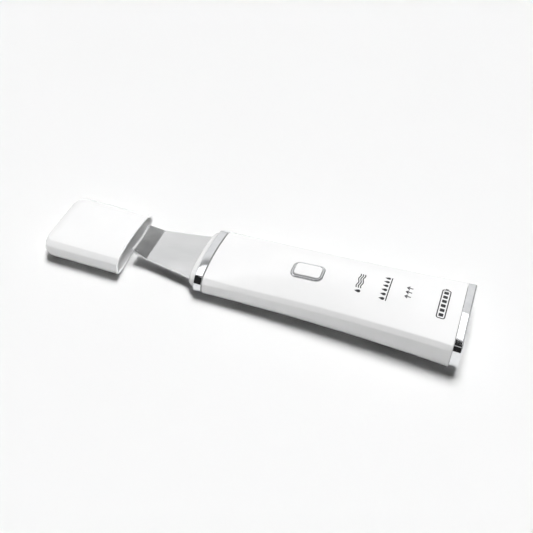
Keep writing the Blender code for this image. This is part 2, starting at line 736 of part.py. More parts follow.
def make_button():
    """Power and mode key: bezel, key top with its retaining flange and stem, and the switch under it."""
    inner = (BUTTON_LENGTH + 2 * GAP, BUTTON_WIDTH + 2 * GAP, BUTTON_CORNER + GAP)
    outer = (inner[0] + 2 * BEZEL_WIDTH, inner[1] + 2 * BEZEL_WIDTH, inner[2] + BEZEL_WIDTH)
    outer_rings = []
    inner_rings = []
    for size, rings in ((outer, outer_rings), (inner, inner_rings)):
        for offset in (-BEZEL_DEPTH, BEZEL_RISE):
            rings.append(on_top(rounded_outline(*size), offset))
    add_object("button_bezel", tube(outer_rings, inner_rings), "chrome")
    origin = (BUTTON_X, 0.0, height(BUTTON_X))
    body = rounded_outline(BUTTON_LENGTH, BUTTON_WIDTH, BUTTON_CORNER)
    crown = rounded_outline(
        BUTTON_LENGTH - 2.0 * BUTTON_CHAMFER,
        BUTTON_WIDTH - 2.0 * BUTTON_CHAMFER,
        BUTTON_CORNER - BUTTON_CHAMFER,
    )
    rings = [on_top(body, -BUTTON_BASE), on_top(body, BUTTON_RISE - 0.25), on_top(crown, BUTTON_RISE)]
    key = add_object("button_key", loft(rings), "white_gloss", origin=origin)
    flange = rounded_outline(BUTTON_LENGTH + FLANGE_WIDER, BUTTON_WIDTH + FLANGE_WIDER, BUTTON_CORNER + 0.6)
    flange = loft([on_top(flange, -FLANGE_BOTTOM), on_top(flange, -FLANGE_TOP)])
    join(key, add_object("key_flange", flange, "nylon"))
    stem_top = height(BUTTON_X) - BUTTON_BASE - 0.1
    stem = cylinder((BUTTON_X, 0.0), STEM_RADIUS, PLUNGER_TOP + GAP, stem_top, count=16)
    join(key, add_object("key_stem", stem, "nylon"))


def make_switch():
    """Tact switch: square body with a well, and the plunger that runs in it."""
    low = (BUTTON_X - SWITCH_HALF, -SWITCH_HALF, SWITCH_BASE)
    high = (BUTTON_X + SWITCH_HALF, SWITCH_HALF, SWITCH_TOP)
    body = add_object("switch_body", box(low, high), "epoxy_black", smooth=False)
    well = cylinder((BUTTON_X, 0.0), WELL_RADIUS, WELL_FLOOR, SWITCH_TOP + 1.0, count=20)
    cut(body, add_object("switch_well", well, "nylon"))
    plunger = cylinder((BUTTON_X, 0.0), PLUNGER_RADIUS, PLUNGER_BASE, PLUNGER_TOP, count=20)
    add_object("switch_plunger", plunger, "epoxy_black", origin=(BUTTON_X, 0.0, PLUNGER_TOP))


# ---------------------------------------------------------------- electronics
def make_board():
    """Circuit board with its tongue towards the socket and its four screws."""
    under = BOARD_TOP - BOARD_THICK
    board = box((BOARD_START, -BOARD_HALF, under), (BOARD_END, BOARD_HALF, BOARD_TOP))
    board = add_object("circuit_board", board, "board_green", smooth=False)
    tongue_end = PLATE_X - GAP - 0.1
    tongue = box((BOARD_END - 2.0, -BOARD_TONGUE_HALF, under), (tongue_end, BOARD_TONGUE_HALF, BOARD_TOP))
    join(board, add_object("board_tongue", tongue, "board_green", smooth=False))
    for number, centre in enumerate(BOARD_SCREWS, 1):
        hole = cylinder(centre, BOARD_HOLE, under - 1.0, BOARD_TOP + 1.0, count=12)
        cut(board, add_object(f"board_hole_{number}", hole, "nylon"))
        make_screw(f"board_screw_{number}", centre, BOARD_TOP + GAP, BOARD_SHANK)


def make_board_parts():
    """What sits on the board: indicator lamps, chip, capacitor, transformer and choke."""
    base = BOARD_TOP + GAP
    for number, x in enumerate(LED_PLACES, 1):
        low = (x - LED_HALF[0], -LED_HALF[1], base)
        led = box(low, (x + LED_HALF[0], LED_HALF[1], base + LED_TALL))
        add_object(f"mode_led_{number}", led, "led_clear", smooth=False)
    chip = box((CHIP_X[0], -CHIP_HALF, base), (CHIP_X[1], CHIP_HALF, base + CHIP_TALL))
    add_object("control_chip", chip, "epoxy_black", smooth=False)
    can = [(2.6, base), (2.6, base + 2.8), (2.2, base + 3.2)]
    add_object("filter_capacitor", turned(CAPACITOR_PLACE, can), "cell_silver")
    core = box((76.0, -12.6, base), (84.0, -5.6, base + 1.0))
    core = add_object("step_up_transformer", core, "epoxy_black")
    winding = [(2.9, base + 0.8), (2.9, base + 2.6)]
    join(core, add_object("transformer_winding", turned(WINDING_PLACE, winding), "copper_winding"))
    top = box((76.4, -12.2, base + 2.4), (83.6, -6.0, base + 3.2))
    join(core, add_object("transformer_top", top, "epoxy_black"))
    coil = [(2.4, base), (2.4, base + 0.5), (1.9, base + 0.9)]
    coil += [(1.9, base + 2.1), (2.4, base + 2.5), (2.4, base + 3.0)]
    add_object("choke_coil", turned(COIL_PLACE, coil), "copper_winding")


def make_cell():
    """Lithium pouch cell under the board, with the foam pad that holds it down."""
    top = FLOOR + CELL_THICK - 0.1
    outline = rounded_outline(CELL_END - CELL_START, 2 * CELL_HALF, CELL_CORNER, count=4)
    middle = (CELL_START + CELL_END) / 2.0
    rings = [[(middle + x, y, z) for x, y in outline] for z in (FLOOR, top)]
    add_object("battery_cell", loft(rings), "cell_silver")
    low = (CELL_START + PAD_END, -PAD_HALF, top + 0.2)
    pad = box(low, (CELL_END - PAD_END, PAD_HALF, BOARD_TOP - BOARD_THICK - 0.2))
    add_object("cell_pad", pad, "foam", smooth=False)


def make_leads():
    """Internal leads: cell to board and piezo plates to board."""
    under = BOARD_TOP - BOARD_THICK - GAP - 0.1
    over = BLADE_Z + BLADE_THICK / 2.0 + GAP + PIEZO_THICK + GAP
    end = BOARD_START - GAP - 0.1
    for colour, side in (("red", 1.0), ("black", -1.0)):
        y = side * CELL_LEAD_Y
        points = [(CELL_START - GAP - 0.1, y, 4.6), (55.5, y, 4.6), (53.2, y, 5.4), (52.4, y, under)]
        wire(f"cell_lead_{colour}", points, f"wire_{colour}")
        y = side * PIEZO_LEAD_Y
        points = [(18.0, y, over + 0.6), (20.5, y, over + 1.9), (25.0, y, 9.9)]
        points += [(29.5, y, 9.7), (end, y, 8.4)]
        wire(f"piezo_lead_{colour}", points, f"wire_{colour}")


# ---------------------------------------------------------------- tail
def end_cap_section(x, inset):
    """The end cap's cross-section at x: its sides stand in and its underside stands up a little."""
    half, low, belly, top, edge, shoulder, flat = housing_marks(x, inset)
    edge = (edge[0] - TAIL_STEP, edge[1])
    return whole_section((half - TAIL_STEP, low + TAIL_LIFT, belly, top, edge, shoulder, flat))


def make_tail():
    """End plate with its screws, charging socket, and the chrome end cap with its socket opening."""
    rings = []
    for x in (PLATE_X, PLATE_X + PLATE_THICK):
        section = whole_section(housing_marks(PLATE_X, WALL + GAP + 0.1))
        rings.append([(x, y, z) for y, z in section])
    plate = add_object("end_plate", loft(rings), "nylon")
    for number, y in enumerate(PLATE_SCREWS, 1):
        hole = cylinder((y, PLATE_SCREW_Z), CLEAR_HOLE, PLATE_X - 1.0, PLATE_X + 4.0, axis="X", count=12)
        cut(plate, add_object(f"plate_hole_{number}", hole, "nylon"))
        seat = PLATE_X + PLATE_THICK + GAP
        make_screw(f"plate_screw_{number}", (y, PLATE_SCREW_Z), seat, PLATE_SHANK, axis="X")
    width = SOCKET_HALF_WIDTH + GAP
    rise = SOCKET_HALF_HEIGHT + GAP
    outline = rounded_outline(2 * width, 2 * rise, SOCKET_CORNER + GAP)
    rings = [[(x, y, SOCKET_Z + z) for y, z in outline] for x in (PLATE_X - 2.0, PLATE_X + 12.0)]
    window = add_object("socket_window", loft(rings), "nylon")
    cut(plate, window)

    start = LENGTH + GAP
    stop = LENGTH + TAIL_CAP_LENGTH
    rings = [ring_at(start, end_cap_section(start, 0.0))]
    for angle in stations(0.0, math.pi / 2, 6):
        x = stop - TAIL_ROUNDING * (1.0 - math.sin(angle))
        rings.append(ring_at(x, end_cap_section(x, TAIL_ROUNDING * (1.0 - math.cos(angle)))))
    cap = add_object("tail_cap", loft(rings), "chrome")
    hollow = []
    for x in (start - 1.0, stop - TAIL_CAP_WALL - 0.1):
        hollow.append([(x, y, z) for y, z in end_cap_section(start, TAIL_CAP_WALL)])
    cut(cap, add_object("tail_hollow", loft(hollow), "nylon"))
    cut(cap, window)
    make_socket(stop)


def make_socket(stop):
    """Charging socket on the board: a shell with its mouth in the end cap, and the contact tongue."""
    width = 2 * SOCKET_HALF_WIDTH
    rise = 2 * SOCKET_HALF_HEIGHT
    outer = rounded_outline(width, rise, SOCKET_CORNER)
    inner = rounded_outline(width - 2 * SOCKET_WALL, rise - 2 * SOCKET_WALL, SOCKET_CORNER - SOCKET_WALL)
    rings = [[(x, y, SOCKET_Z + z) for y, z in outer] for x in (SOCKET_START, stop - GAP)]
    socket = add_object("charging_socket", loft(rings), "zinc")
    rings = [[(x, y, SOCKET_Z + z) for y, z in inner] for x in (SOCKET_START + 1.5, stop + 1.0)]
    cut(socket, add_object("socket_mouth", loft(rings), "nylon"))
    low = (SOCKET_START + 1.0, -TONGUE_HALF, SOCKET_Z - TONGUE_HALF_THICK)
    tongue = box(low, (stop - 1.6, TONGUE_HALF, SOCKET_Z + TONGUE_HALF_THICK))
    join(socket, add_object("socket_tongue", tongue, "epoxy_black"))


# ---------------------------------------------------------------- protective cap
def cap_marks(round_in, inset):
    """Marks of the cap's cross-section: the housing's at the head, drawn in towards the closed end."""
    half, low, belly, top, edge, shoulder, flat = housing_marks(0.0, inset)
    middle = HEAD_HEIGHT / 2.0
    share = 1.0 - CAP_THINS * round_in / middle
    levels = [middle + (z - middle) * share for z in (low, belly, top, edge[1], shoulder[1])]
    edge = (edge[0] - round_in, levels[3])
    shoulder = (shoulder[0] - round_in, levels[4])
    flat = max(flat - 0.5 * round_in, 2.0)
    return half - round_in, levels[0], levels[1], levels[2], edge, shoulder, flat


def cap_ring(s, inset, power=2.2):
    """A ring of the cap at distance s behind its mouth, set in by a wall; the closed end rounds off."""
    past = max(s - (CAP_LENGTH - CAP_CORNER), 0.0) / CAP_CORNER
    round_in = CAP_CORNER * (1.0 - (1.0 - min(past, 1.0) ** power) ** (1.0 / power))
    section = whole_section(cap_marks(round_in, inset))
    ring = ring_at(CAP_MOUTH_X - s, section, mouth=CAP_MOUTH_X)
    return [(x, y + CAP_ASIDE, z) for x, y, z in ring]


def make_protective_cap():
    """Slip-on cover: a flat cup whose mouth takes the nose collar."""
    corner = CAP_LENGTH - CAP_CORNER
    lengths = [0.0, 8.0, 16.0, 24.0, corner]
    lengths += [corner + CAP_CORNER * math.sin(math.radians(angle)) for angle in (18, 36, 52, 66, 78, 88)]
    outer = [cap_ring(s, 0.0) for s in lengths]
    share = (CAP_LENGTH - CAP_WALL - 0.2) / CAP_LENGTH
    inner = [cap_ring(s * share, CAP_WALL) for s in lengths]
    cup = loft(outer[::-1] + inner)
    origin = (CAP_MOUTH_X, CAP_ASIDE, HEAD_HEIGHT / 2.0)
    add_object("protective_cap", cup, "white_gloss", origin=origin)


def main():
    clear_scene()
    make_top_shell()
    make_back_shell()
    make_head_ring()
    make_nose_collar()
    make_blade()
    make_transducer()
    make_switch()
    make_button()
    make_board()
    make_board_parts()
    make_cell()
    make_leads()
    make_tail()
    make_protective_cap()


main()
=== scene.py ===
"""Looks of the ultrasonic skin scrubber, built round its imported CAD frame.

Everything is in metres in the frame's own axes: +X towards the tail, +Z up out of the key side.
"""

import json
import math

import bmesh
import bpy
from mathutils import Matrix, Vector

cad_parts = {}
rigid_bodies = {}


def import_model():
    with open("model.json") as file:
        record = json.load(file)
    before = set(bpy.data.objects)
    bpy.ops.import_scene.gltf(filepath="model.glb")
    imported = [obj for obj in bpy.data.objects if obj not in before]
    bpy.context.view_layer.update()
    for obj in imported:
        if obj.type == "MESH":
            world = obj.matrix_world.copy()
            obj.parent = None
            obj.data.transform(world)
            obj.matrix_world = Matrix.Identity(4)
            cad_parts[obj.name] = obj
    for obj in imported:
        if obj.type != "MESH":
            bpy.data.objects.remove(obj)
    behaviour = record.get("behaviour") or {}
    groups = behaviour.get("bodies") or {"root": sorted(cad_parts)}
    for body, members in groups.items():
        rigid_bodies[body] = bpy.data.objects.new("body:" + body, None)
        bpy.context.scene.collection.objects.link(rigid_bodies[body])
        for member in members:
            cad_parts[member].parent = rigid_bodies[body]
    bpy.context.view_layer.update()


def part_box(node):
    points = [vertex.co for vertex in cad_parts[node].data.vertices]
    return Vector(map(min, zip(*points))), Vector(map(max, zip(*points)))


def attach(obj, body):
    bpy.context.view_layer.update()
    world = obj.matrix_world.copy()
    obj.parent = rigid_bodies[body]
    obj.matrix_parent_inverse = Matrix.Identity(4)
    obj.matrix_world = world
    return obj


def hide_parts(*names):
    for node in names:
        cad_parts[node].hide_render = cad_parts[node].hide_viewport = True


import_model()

MM = 0.001

# ---------------------------------------------------------------- sizes read from the frame
ring_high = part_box("head_ring")[1]
collar_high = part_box("nose_collar")[1]
shell_low, shell_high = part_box("top_shell")
tail_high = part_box("tail_cap")[1]
blade_low, blade_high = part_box("blade")
cap_low, cap_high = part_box("protective_cap")
socket_low, socket_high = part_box("charging_socket")

# ---------------------------------------------------------------- housing; the seam is at x = 0
# A level given as three values is that at the head, that at the tail and the rise between them.
GAP = 0.3 * MM
LENGTH = shell_high.x
HEAD_HALF_WIDTH = ring_high.y
TAIL_HALF_WIDTH = 22.0 * MM
WAIST = 1.15 * MM           # how far the sides draw in between head and tail
HEAD_HEIGHT = 10.45 * MM
TAIL_HEIGHT = 16.0 * MM
CROWN = 3.2 * MM
FLAT_HALF = 7.0 * MM
CORNER_POWER = 2.6
BELLY_Z = (4.9 * MM, 5.0 * MM, 1.4 * MM)
SIDE_UPRIGHT = 0.2          # share of the side above the belly that starts off upright
EDGE_IN = 1.2 * MM          # the bevel's lower edge, in from the side
EDGE_Z = (8.3 * MM, 13.0 * MM, 0.35 * MM)
EDGE_INWARD = (0.9, 0.45)   # how far it moves in and down per unit of wall
SHOULDER_IN = 3.0 * MM      # the bevel's upper edge, in from the side
SHOULDER_HEAD_IN = 1.0 * MM
SHOULDER_REACH = 30.0 * MM
SHOULDER_Z = (10.1 * MM, 15.1 * MM, 0.4 * MM)
SHOULDER_INWARD = (0.6, 0.85)
EDGE_SOFT = 0.55 * MM
SAG = 1.25 * MM             # plan bow of the seam and of all that meets it
SAG_REACH = 24.0 * MM

# Casings: the parting line, and the rounding of their ends, which stops short of a quarter turn.
WALL = 1.6 * MM
SPLIT_Z = shell_low.z - GAP / 2.0
LIP = 1.0 * MM
SEAM_RADIUS = 0.25 * MM
HEAD_END = 0.9 * MM
HEAD_END_TURN = 1.25
TAIL_END = 0.2 * MM
TAIL_END_TURN = 1.2
OPENING_Z = (12.0 * MM, 20.0 * MM)

# ---------------------------------------------------------------- head
SEAM = 0.14 * MM
RING_LENGTH = 4.1 * MM
RING_WALL = 1.3 * MM
RING_FRONT_RADIUS = 0.35 * MM
RING_SEAM_RADIUS = 0.12 * MM
COLLAR_BACK = 0.4 * MM
COLLAR_INSET = HEAD_HALF_WIDTH - collar_high.y
COLLAR_LENGTH = 4.0 * MM
COLLAR_NARROWS = 2.3 * MM
COLLAR_THINS = 2.1 * MM
COLLAR_SIDE_BACK = 0.4      # share of its length by which its sides fall back
GROOVE_START = 4.95 * MM
GROOVE_END = 5.25 * MM
GROOVE_DEPTH = 0.3 * MM
GROOVE_EASE = 0.06 * MM
SLOT_SIDE_GAP = 0.55 * MM

BLADE_THICK = 1.2 * MM
BLADE_Z = blade_low.z + BLADE_THICK / 2.0
BLADE_ROOT_X = -8.5 * MM
BLADE_BEND_X = -33.1 * MM
BLADE_TIP_X = blade_low.x
BLADE_ROOT_HALF = blade_high.y
BLADE_BEND_HALF = 10.6 * MM
BLADE_TIP_HALF = 9.3 * MM
BLADE_TIP_ANGLE = math.radians(16.0)
BLADE_CORNER = 1.3 * MM
BLADE_HOLLOW = 0.75 * MM
BLADE_HOLLOW_REACH = 2.2 * MM
BLADE_EDGE_SHARE = 0.45
BLADE_EDGE_REACH = 1.5 * MM
BLADE_EASE = 0.14 * MM
TANG_HALF = 11.0 * MM
TANG_END_HALF = 9.5 * MM

# ---------------------------------------------------------------- cap
CAP_ASIDE = (cap_low.y + cap_high.y) / 2.0
CAP_MOUTH_X = cap_high.x
CAP_LENGTH = cap_high.x - cap_low.x
CAP_WALL = 1.4 * MM
CAP_CORNER = 6.6 * MM
CAP_RIM_REACH = 0.45 * MM

# ---------------------------------------------------------------- key, its bezel, and the tail
BUTTON_X = 46.5 * MM
BUTTON_LENGTH = 12.7 * MM
BUTTON_WIDTH = 7.4 * MM
BUTTON_CORNER = 1.7 * MM
BUTTON_RISE = 0.85 * MM
BUTTON_SOFT = 0.4 * MM
BUTTON_DOME = 0.05 * MM
FLANGE_WIDER = 0.8 * MM
FLANGE_CORNER = 2.3 * MM
FLANGE_TOP = -2.3 * MM
FLANGE_BOTTOM = -2.9 * MM
BEZEL_WIDTH = 0.8 * MM
BEZEL_RISE = 0.14 * MM
BEZEL_SOFT = 0.16 * MM
BEZEL_FOOT = -2.0 * MM

TAIL_ROUNDING = 0.95 * MM
TAIL_SEAM_RADIUS = 0.15 * MM
TAIL_CAP_WALL = 1.4 * MM
TAIL_CAP_FLOOR = 1.5 * MM
TAIL_STEP = 0.35 * MM       # how far its sides stand in from the shells
TAIL_LIFT = 1.1 * MM        # how far its underside stands up
SOCKET_WALL = 0.35 * MM
SOCKET_RIM = 0.1 * MM
SOCKET_FLOOR = 1.5 * MM
TONGUE_HALF_WIDTH = 3.2 * MM
TONGUE_HALF_THICK = 0.3 * MM
TONGUE_SETBACK = 1.3 * MM
CONTACT_COUNT = 12
CONTACT_PITCH = 0.5 * MM
CONTACT_HALF_WIDTH = 0.13 * MM
CONTACT_HALF_THICK = 0.02 * MM
CONTACT_LENGTH = 4.0 * MM
CONTACT_SETBACK = 0.25 * MM

PRINT_LIFT = 0.03 * MM
LINE = 0.5 * MM
WAVE_RISE = 0.3 * MM
SHARP_ANGLE = math.radians(32.0)


# ---------------------------------------------------------------- the housing's form
def along(levels, x):
    """A level that runs from head to tail with a rise between them; constant forward of the seam."""
    u = max(x, 0.0) / LENGTH
    return levels[0] + (levels[1] - levels[0]) * u + 4.0 * levels[2] * u * (1.0 - u)


def half_width(x):
    """Half width of the housing at x."""
    return along((HEAD_HALF_WIDTH, TAIL_HALF_WIDTH, -WAIST), x)


def height(x):
    """Height of the housing's top above its flat back at x."""
    return along((HEAD_HEIGHT, TAIL_HEIGHT, CROWN), x)


def bowed(x, y, mouth=0.0):
    """Moves a point along X by the plan bow, which fades out away from the given line."""
    fade = 1.0 - min(abs(x - mouth) / SAG_REACH, 1.0)
    return x - SAG * (1.0 - (y / HEAD_HALF_WIDTH) ** 2) * fade * fade * (3.0 - 2.0 * fade)


def spaced(start, end, count):
    """Evenly spaced values, ends included."""
    return [start + (end - start) * i / (count - 1) for i in range(count)]


def curve(start, control, end, count, first=0):
    """Points of a quadratic curve from start to end; first=1 leaves the start out."""
    points = []
    for i in range(first, count):
        t = i / (count - 1)
        weights = ((1.0 - t) ** 2, 2.0 * t * (1.0 - t), t * t)
        points.append(tuple(
            weights[0] * a + weights[1] * b + weights[2] * c
            for a, b, c in zip(start, control, end)
        ))
    return points


def towards(start, end, distance):
    """The point at a distance from start in the direction of end."""
    length = math.dist(start, end)
    return tuple(a + (b - a) * distance / length for a, b in zip(start, end))


def lower_corner(marks, start, end, count):
    """The rounded lower corner, from one level up to another."""
    half, low, belly = marks[:3]
    flat = marks[-1]
    power = 2.0 / CORNER_POWER
    turns = [
        math.acos(min(((belly - z) / (belly - low)) ** (1.0 / power), 1.0))
        for z in (start, end)
    ]
    points = []
    for angle in spaced(turns[0], turns[1], count):
        y = flat + (half - flat) * math.sin(angle) ** power
        points.append((y, belly - (belly - low) * max(math.cos(angle), 0.0) ** power))
    return points


def upper_side(marks, count, soft=6):
    """The side above the belly, the bevel with both its edges rounded off, and the domed top."""
    half, low, belly, top, edge, shoulder, flat = marks
    upright = (half, belly + SIDE_UPRIGHT * (edge[1] - belly))
    points = curve((half, belly), upright, towards(edge, upright, EDGE_SOFT), 9, first=1)
    points += curve(points[-1], edge, towards(edge, shoulder, EDGE_SOFT), soft, first=1)
    slope = 2.0 * (top - shoulder[1]) / shoulder[0]
    reach = EDGE_SOFT / math.hypot(1.0, slope)
    dome = []
    for y in spaced(shoulder[0] - reach, 0.0, count):
        dome.append((y, top - (top - shoulder[1]) * (y / shoulder[0]) ** 2))
    points += curve(towards(shoulder, edge, EDGE_SOFT), shoulder, dome[0], soft)
    return points + dome[1:]


def half_section(marks, count=12):
    """Right half of a cross-section, from the back's flat strip up to the middle of the top.

    The marks are the half width, the levels of back, belly and top, the (y, z) points where the
    side meets the bevel and where the bevel meets the dome, and the flat strip's half width.
    """
    return lower_corner(marks, marks[1], marks[2], count) + upper_side(marks, count)


def housing_marks(x, inset):
    """Marks of the housing's cross-section at x, set in square to each face by a wall."""
    half = half_width(x)
    edge = (
        half - EDGE_IN - EDGE_INWARD[0] * inset,
        along(EDGE_Z, x) - EDGE_INWARD[1] * inset,
    )
    further = SHOULDER_HEAD_IN * (1.0 - min(max(x, 0.0) / SHOULDER_REACH, 1.0)) ** 2
    shoulder = (
        half - SHOULDER_IN - further - SHOULDER_INWARD[0] * inset,
        along(SHOULDER_Z, x) - SHOULDER_INWARD[1] * inset,
    )
    return half - inset, inset, along(BELLY_Z, x), height(x) - inset, edge, shoulder, FLAT_HALF


def whole_section(marks, count=12):
    """A closed cross-section as (y, z) points, with a few points along the flat back."""
    right = half_section(marks, count)
    low = marks[1]
    strip = [marks[-1] * k / 3.0 for k in (-2, -1, 0, 1, 2)]
    return right + [(-y, z) for y, z in reversed(right[:-1])] + [(y, low) for y in strip]


def across(right, shared_end=False):
    """A chain from the left edge to the right edge, mirrored from one running outwards."""
    left = [(-y, z) for y, z in reversed(right)]
    return (left[:-1] if shared_end else left) + right


def rounded_ends(count):
    """Stations along the shells that crowd at both ends, each with its edge rounding inset."""
    result = []
    for turn in spaced(0.0, HEAD_END_TURN, 6):
        result.append((HEAD_END * (1.0 - math.cos(turn)), HEAD_END * (1.0 - math.sin(turn))))
    for x in spaced(HEAD_END, LENGTH - TAIL_END, count):
        result.append((x, 0.0))
    for turn in spaced(TAIL_END_TURN, 0.0, 4):
        x = LENGTH - TAIL_END * (1.0 - math.cos(turn))
        result.append((x, TAIL_END * (1.0 - math.sin(turn))))
    return result


def ring_at(x, section, mouth=0.0):
    """Lifts a cross-section into space at x, bowed in plan."""
    return [Vector((bowed(x, y, mouth), y, z)) for y, z in section]


# ---------------------------------------------------------------- mesh helpers
def skin(mesh, rows, closed=True):
    """Joins neighbouring rows of vertices with quads."""
    size = len(rows[0])
    for near, far in zip(rows, rows[1:]):
        for i in range(size if closed else size - 1):
            j = (i + 1) % size
            mesh.faces.new((near[i], near[j], far[j], far[i]))


def finish_mesh(name, mesh, surface):
    """Makes an object, faces outward, smooth with its sharp edges kept, with its material."""
    bmesh.ops.recalc_face_normals(mesh, faces=mesh.faces)
    if mesh.calc_volume(signed=True) < 0.0:
        bmesh.ops.reverse_faces(mesh, faces=mesh.faces)
    data = bpy.data.meshes.new(name)
    mesh.to_mesh(data)
    mesh.free()
    data.materials.append(surface)
    data.shade_smooth()
    data.set_sharp_from_angle(angle=SHARP_ANGLE)
    made = bpy.data.objects.new(name, data)
    bpy.context.scene.collection.objects.link(made)
    return made


def fan(mesh, ring):
    """Fills a ring of vertices from its middle."""
    middle = mesh.verts.new(sum((v.co for v in ring), Vector()) / len(ring))
    for i in range(len(ring)):
        mesh.faces.new((ring[i], ring[(i + 1) % len(ring)], middle))


def loft(rings):
    """A closed solid skinned over a list of equal rings of points."""
    mesh = bmesh.new()
    rows = [[mesh.verts.new(point) for point in ring] for ring in rings]
    skin(mesh, rows)
    fan(mesh, rows[0])
    fan(mesh, rows[-1])
    return mesh


def hoop(rings):
    """A closed solid skinned over rings that run round a profile and back to the first."""
    mesh = bmesh.new()
    rows = [[mesh.verts.new(point) for point in ring] for ring in rings]
    skin(mesh, rows + [rows[0]])
    return mesh


def bridge(mesh, outer, inner):
    """Fills the strip between two chains of vertices, always across the shorter diagonal."""
    a = 0
    b = 0
    while a < len(outer) - 1 or b < len(inner) - 1:
        along_outer = math.inf
        along_inner = math.inf
        if a < len(outer) - 1:
            along_outer = (outer[a + 1].co - inner[b].co).length
        if b < len(inner) - 1:
            along_inner = (outer[a].co - inner[b + 1].co).length
        if along_outer <= along_inner:
            mesh.faces.new((outer[a], outer[a + 1], inner[b]))
            a += 1
        else:
            mesh.faces.new((outer[a], inner[b + 1], inner[b]))
            b += 1


def channel(sections):
    """A closed solid over open channel sections, each an outer and an inner chain of points."""
    mesh = bmesh.new()
    split = len(sections[0][0])
    rows = [[mesh.verts.new(p) for p in outer + inner[::-1]] for outer, inner in sections]
    skin(mesh, rows)
    for row in (rows[0], rows[-1]):
        bridge(mesh, row[:split], row[split:][::-1])
    return mesh


def box_mesh(low, high):
    """A box between two corners."""
    mesh = bmesh.new()
    bmesh.ops.create_cube(mesh, size=1.0)
    for vert in mesh.verts:
        vert.co = Vector([
            (low[i] + high[i]) / 2.0 + vert.co[i] * (high[i] - low[i])
            for i in range(3)
        ])
    return mesh


def eased_box(low, high, ease):
    """A box between two corners with all its edges rounded off."""
    mesh = box_mesh(low, high)
    bmesh.ops.bevel(mesh, geom=mesh.edges[:], offset=ease, segments=2, profile=0.5, affect="EDGES")
    return mesh


def join(mesh, part):
    """Adds one mesh to another."""
    data = bpy.data.meshes.new("joined")
    part.to_mesh(data)
    part.free()
    mesh.from_mesh(data)
    bpy.data.meshes.remove(data)


def rounded_outline(length, width, radius, count=9):
    """A rounded rectangle about the origin, as (x, y) points."""
    points = []
    for turn in range(4):
        centre_x = (length / 2.0 - radius) * (1 if turn in (0, 3) else -1)
        centre_y = (width / 2.0 - radius) * (1 if turn in (0, 1) else -1)
        for i in range(count):
            angle = math.pi / 2 * (turn + i / (count - 1))
            points.append((centre_x + radius * math.cos(angle), centre_y + radius * math.sin(angle)))
    return points


def subtract(target, cutter):
    """Cuts one object with another for good and removes the cutter."""
    modifier = target.modifiers.new("cut", "BOOLEAN")
    modifier.operation = "DIFFERENCE"
    modifier.solver = "EXACT"
    modifier.object = cutter
    bpy.context.view_layer.update()
    evaluated = target.evaluated_get(bpy.context.evaluated_depsgraph_get())
    data = bpy.data.meshes.new_from_object(evaluated)
    target.modifiers.clear()
    target.data = data
    data.set_sharp_from_angle(angle=SHARP_ANGLE)
    bpy.data.objects.remove(cutter, do_unlink=True)


def place(piece, body, slot, *replaced):
    """Ties a finished piece to its body, evens its shading and hides the CAD nodes that it stands for;
    slot is not used.
    """
    shading = piece.modifiers.new("even_shading", "WEIGHTED_NORMAL")
    shading.keep_sharp = True
    if replaced:
        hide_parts(*replaced)
    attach(piece, body)


# ---------------------------------------------------------------- materials
NOISE_LOW = 0.3
NOISE_HIGH = 0.7


def new_surface(name, colour, roughness, metallic=0.0):
    """A Principled material with its node tree ready for detail."""
    made = bpy.data.materials.new(name)
    made.use_nodes = True
    shader = made.node_tree.nodes["Principled BSDF"]
    shader.inputs["Base Color"].default_value = (*colour, 1.0)
    shader.inputs["Roughness"].default_value = roughness
    shader.inputs["Metallic"].default_value = metallic
    return made


def noise(tree, scale, detail=3.0, stretch=(1.0, 1.0, 1.0)):
    """A noise texture in object space, stretched along the axes."""
    where = tree.nodes.new("ShaderNodeTexCoord")
    mapping = tree.nodes.new("ShaderNodeMapping")
    mapping.inputs["Scale"].default_value = stretch
    texture = tree.nodes.new("ShaderNodeTexNoise")
    texture.inputs["Scale"].default_value = scale
    texture.inputs["Detail"].default_value = detail
    tree.links.new(where.outputs["Object"], mapping.inputs["Vector"])
    tree.links.new(mapping.outputs["Vector"], texture.inputs["Vector"])
    return texture.outputs["Fac"]


def spread(tree, source, low, high):
    """Maps a noise value to a range."""
    node = tree.nodes.new("ShaderNodeMapRange")
    node.inputs["From Min"].default_value = NOISE_LOW
    node.inputs["From Max"].default_value = NOISE_HIGH
    node.inputs["To Min"].default_value = low
    node.inputs["To Max"].default_value = high
    tree.links.new(source, node.inputs["Value"])
    return node.outputs["Result"]


def tint(tree, source, dark, light):
    """Blends two colours by a noise value."""
    ramp = tree.nodes.new("ShaderNodeValToRGB")
    ramp.color_ramp.elements[0].position = NOISE_LOW
    ramp.color_ramp.elements[0].color = (*dark, 1.0)
    ramp.color_ramp.elements[1].position = NOISE_HIGH
    ramp.color_ramp.elements[1].color = (*light, 1.0)
    tree.links.new(source, ramp.inputs["Fac"])
    return ramp.outputs["Color"]


def relief(tree, source, strength, distance):
    """Adds bump from a noise value to the shader."""
    bump = tree.nodes.new("ShaderNodeBump")
    bump.inputs["Strength"].default_value = strength
    bump.inputs["Distance"].default_value = distance
    shader = tree.nodes["Principled BSDF"]
    tree.links.new(source, bump.inputs["Height"])
    tree.links.new(bump.outputs["Normal"], shader.inputs["Normal"])


def textured(name, dark, light, rough, scale, bump=0.0, metallic=0.0, stretch=(1.0, 1.0, 1.0), detail=3.0):
    """A material whose colour and roughness drift with one noise, with optional bump."""
    made = new_surface(name, light, rough[0], metallic)
    tree = made.node_tree
    shader = tree.nodes["Principled BSDF"]
    value = noise(tree, scale, detail, stretch)
    tree.links.new(tint(tree, value, dark, light), shader.inputs["Base Color"])
    tree.links.new(spread(tree, value, *rough), shader.inputs["Roughness"])
    if bump:
        relief(tree, value, bump, 0.05 * MM)
    return made


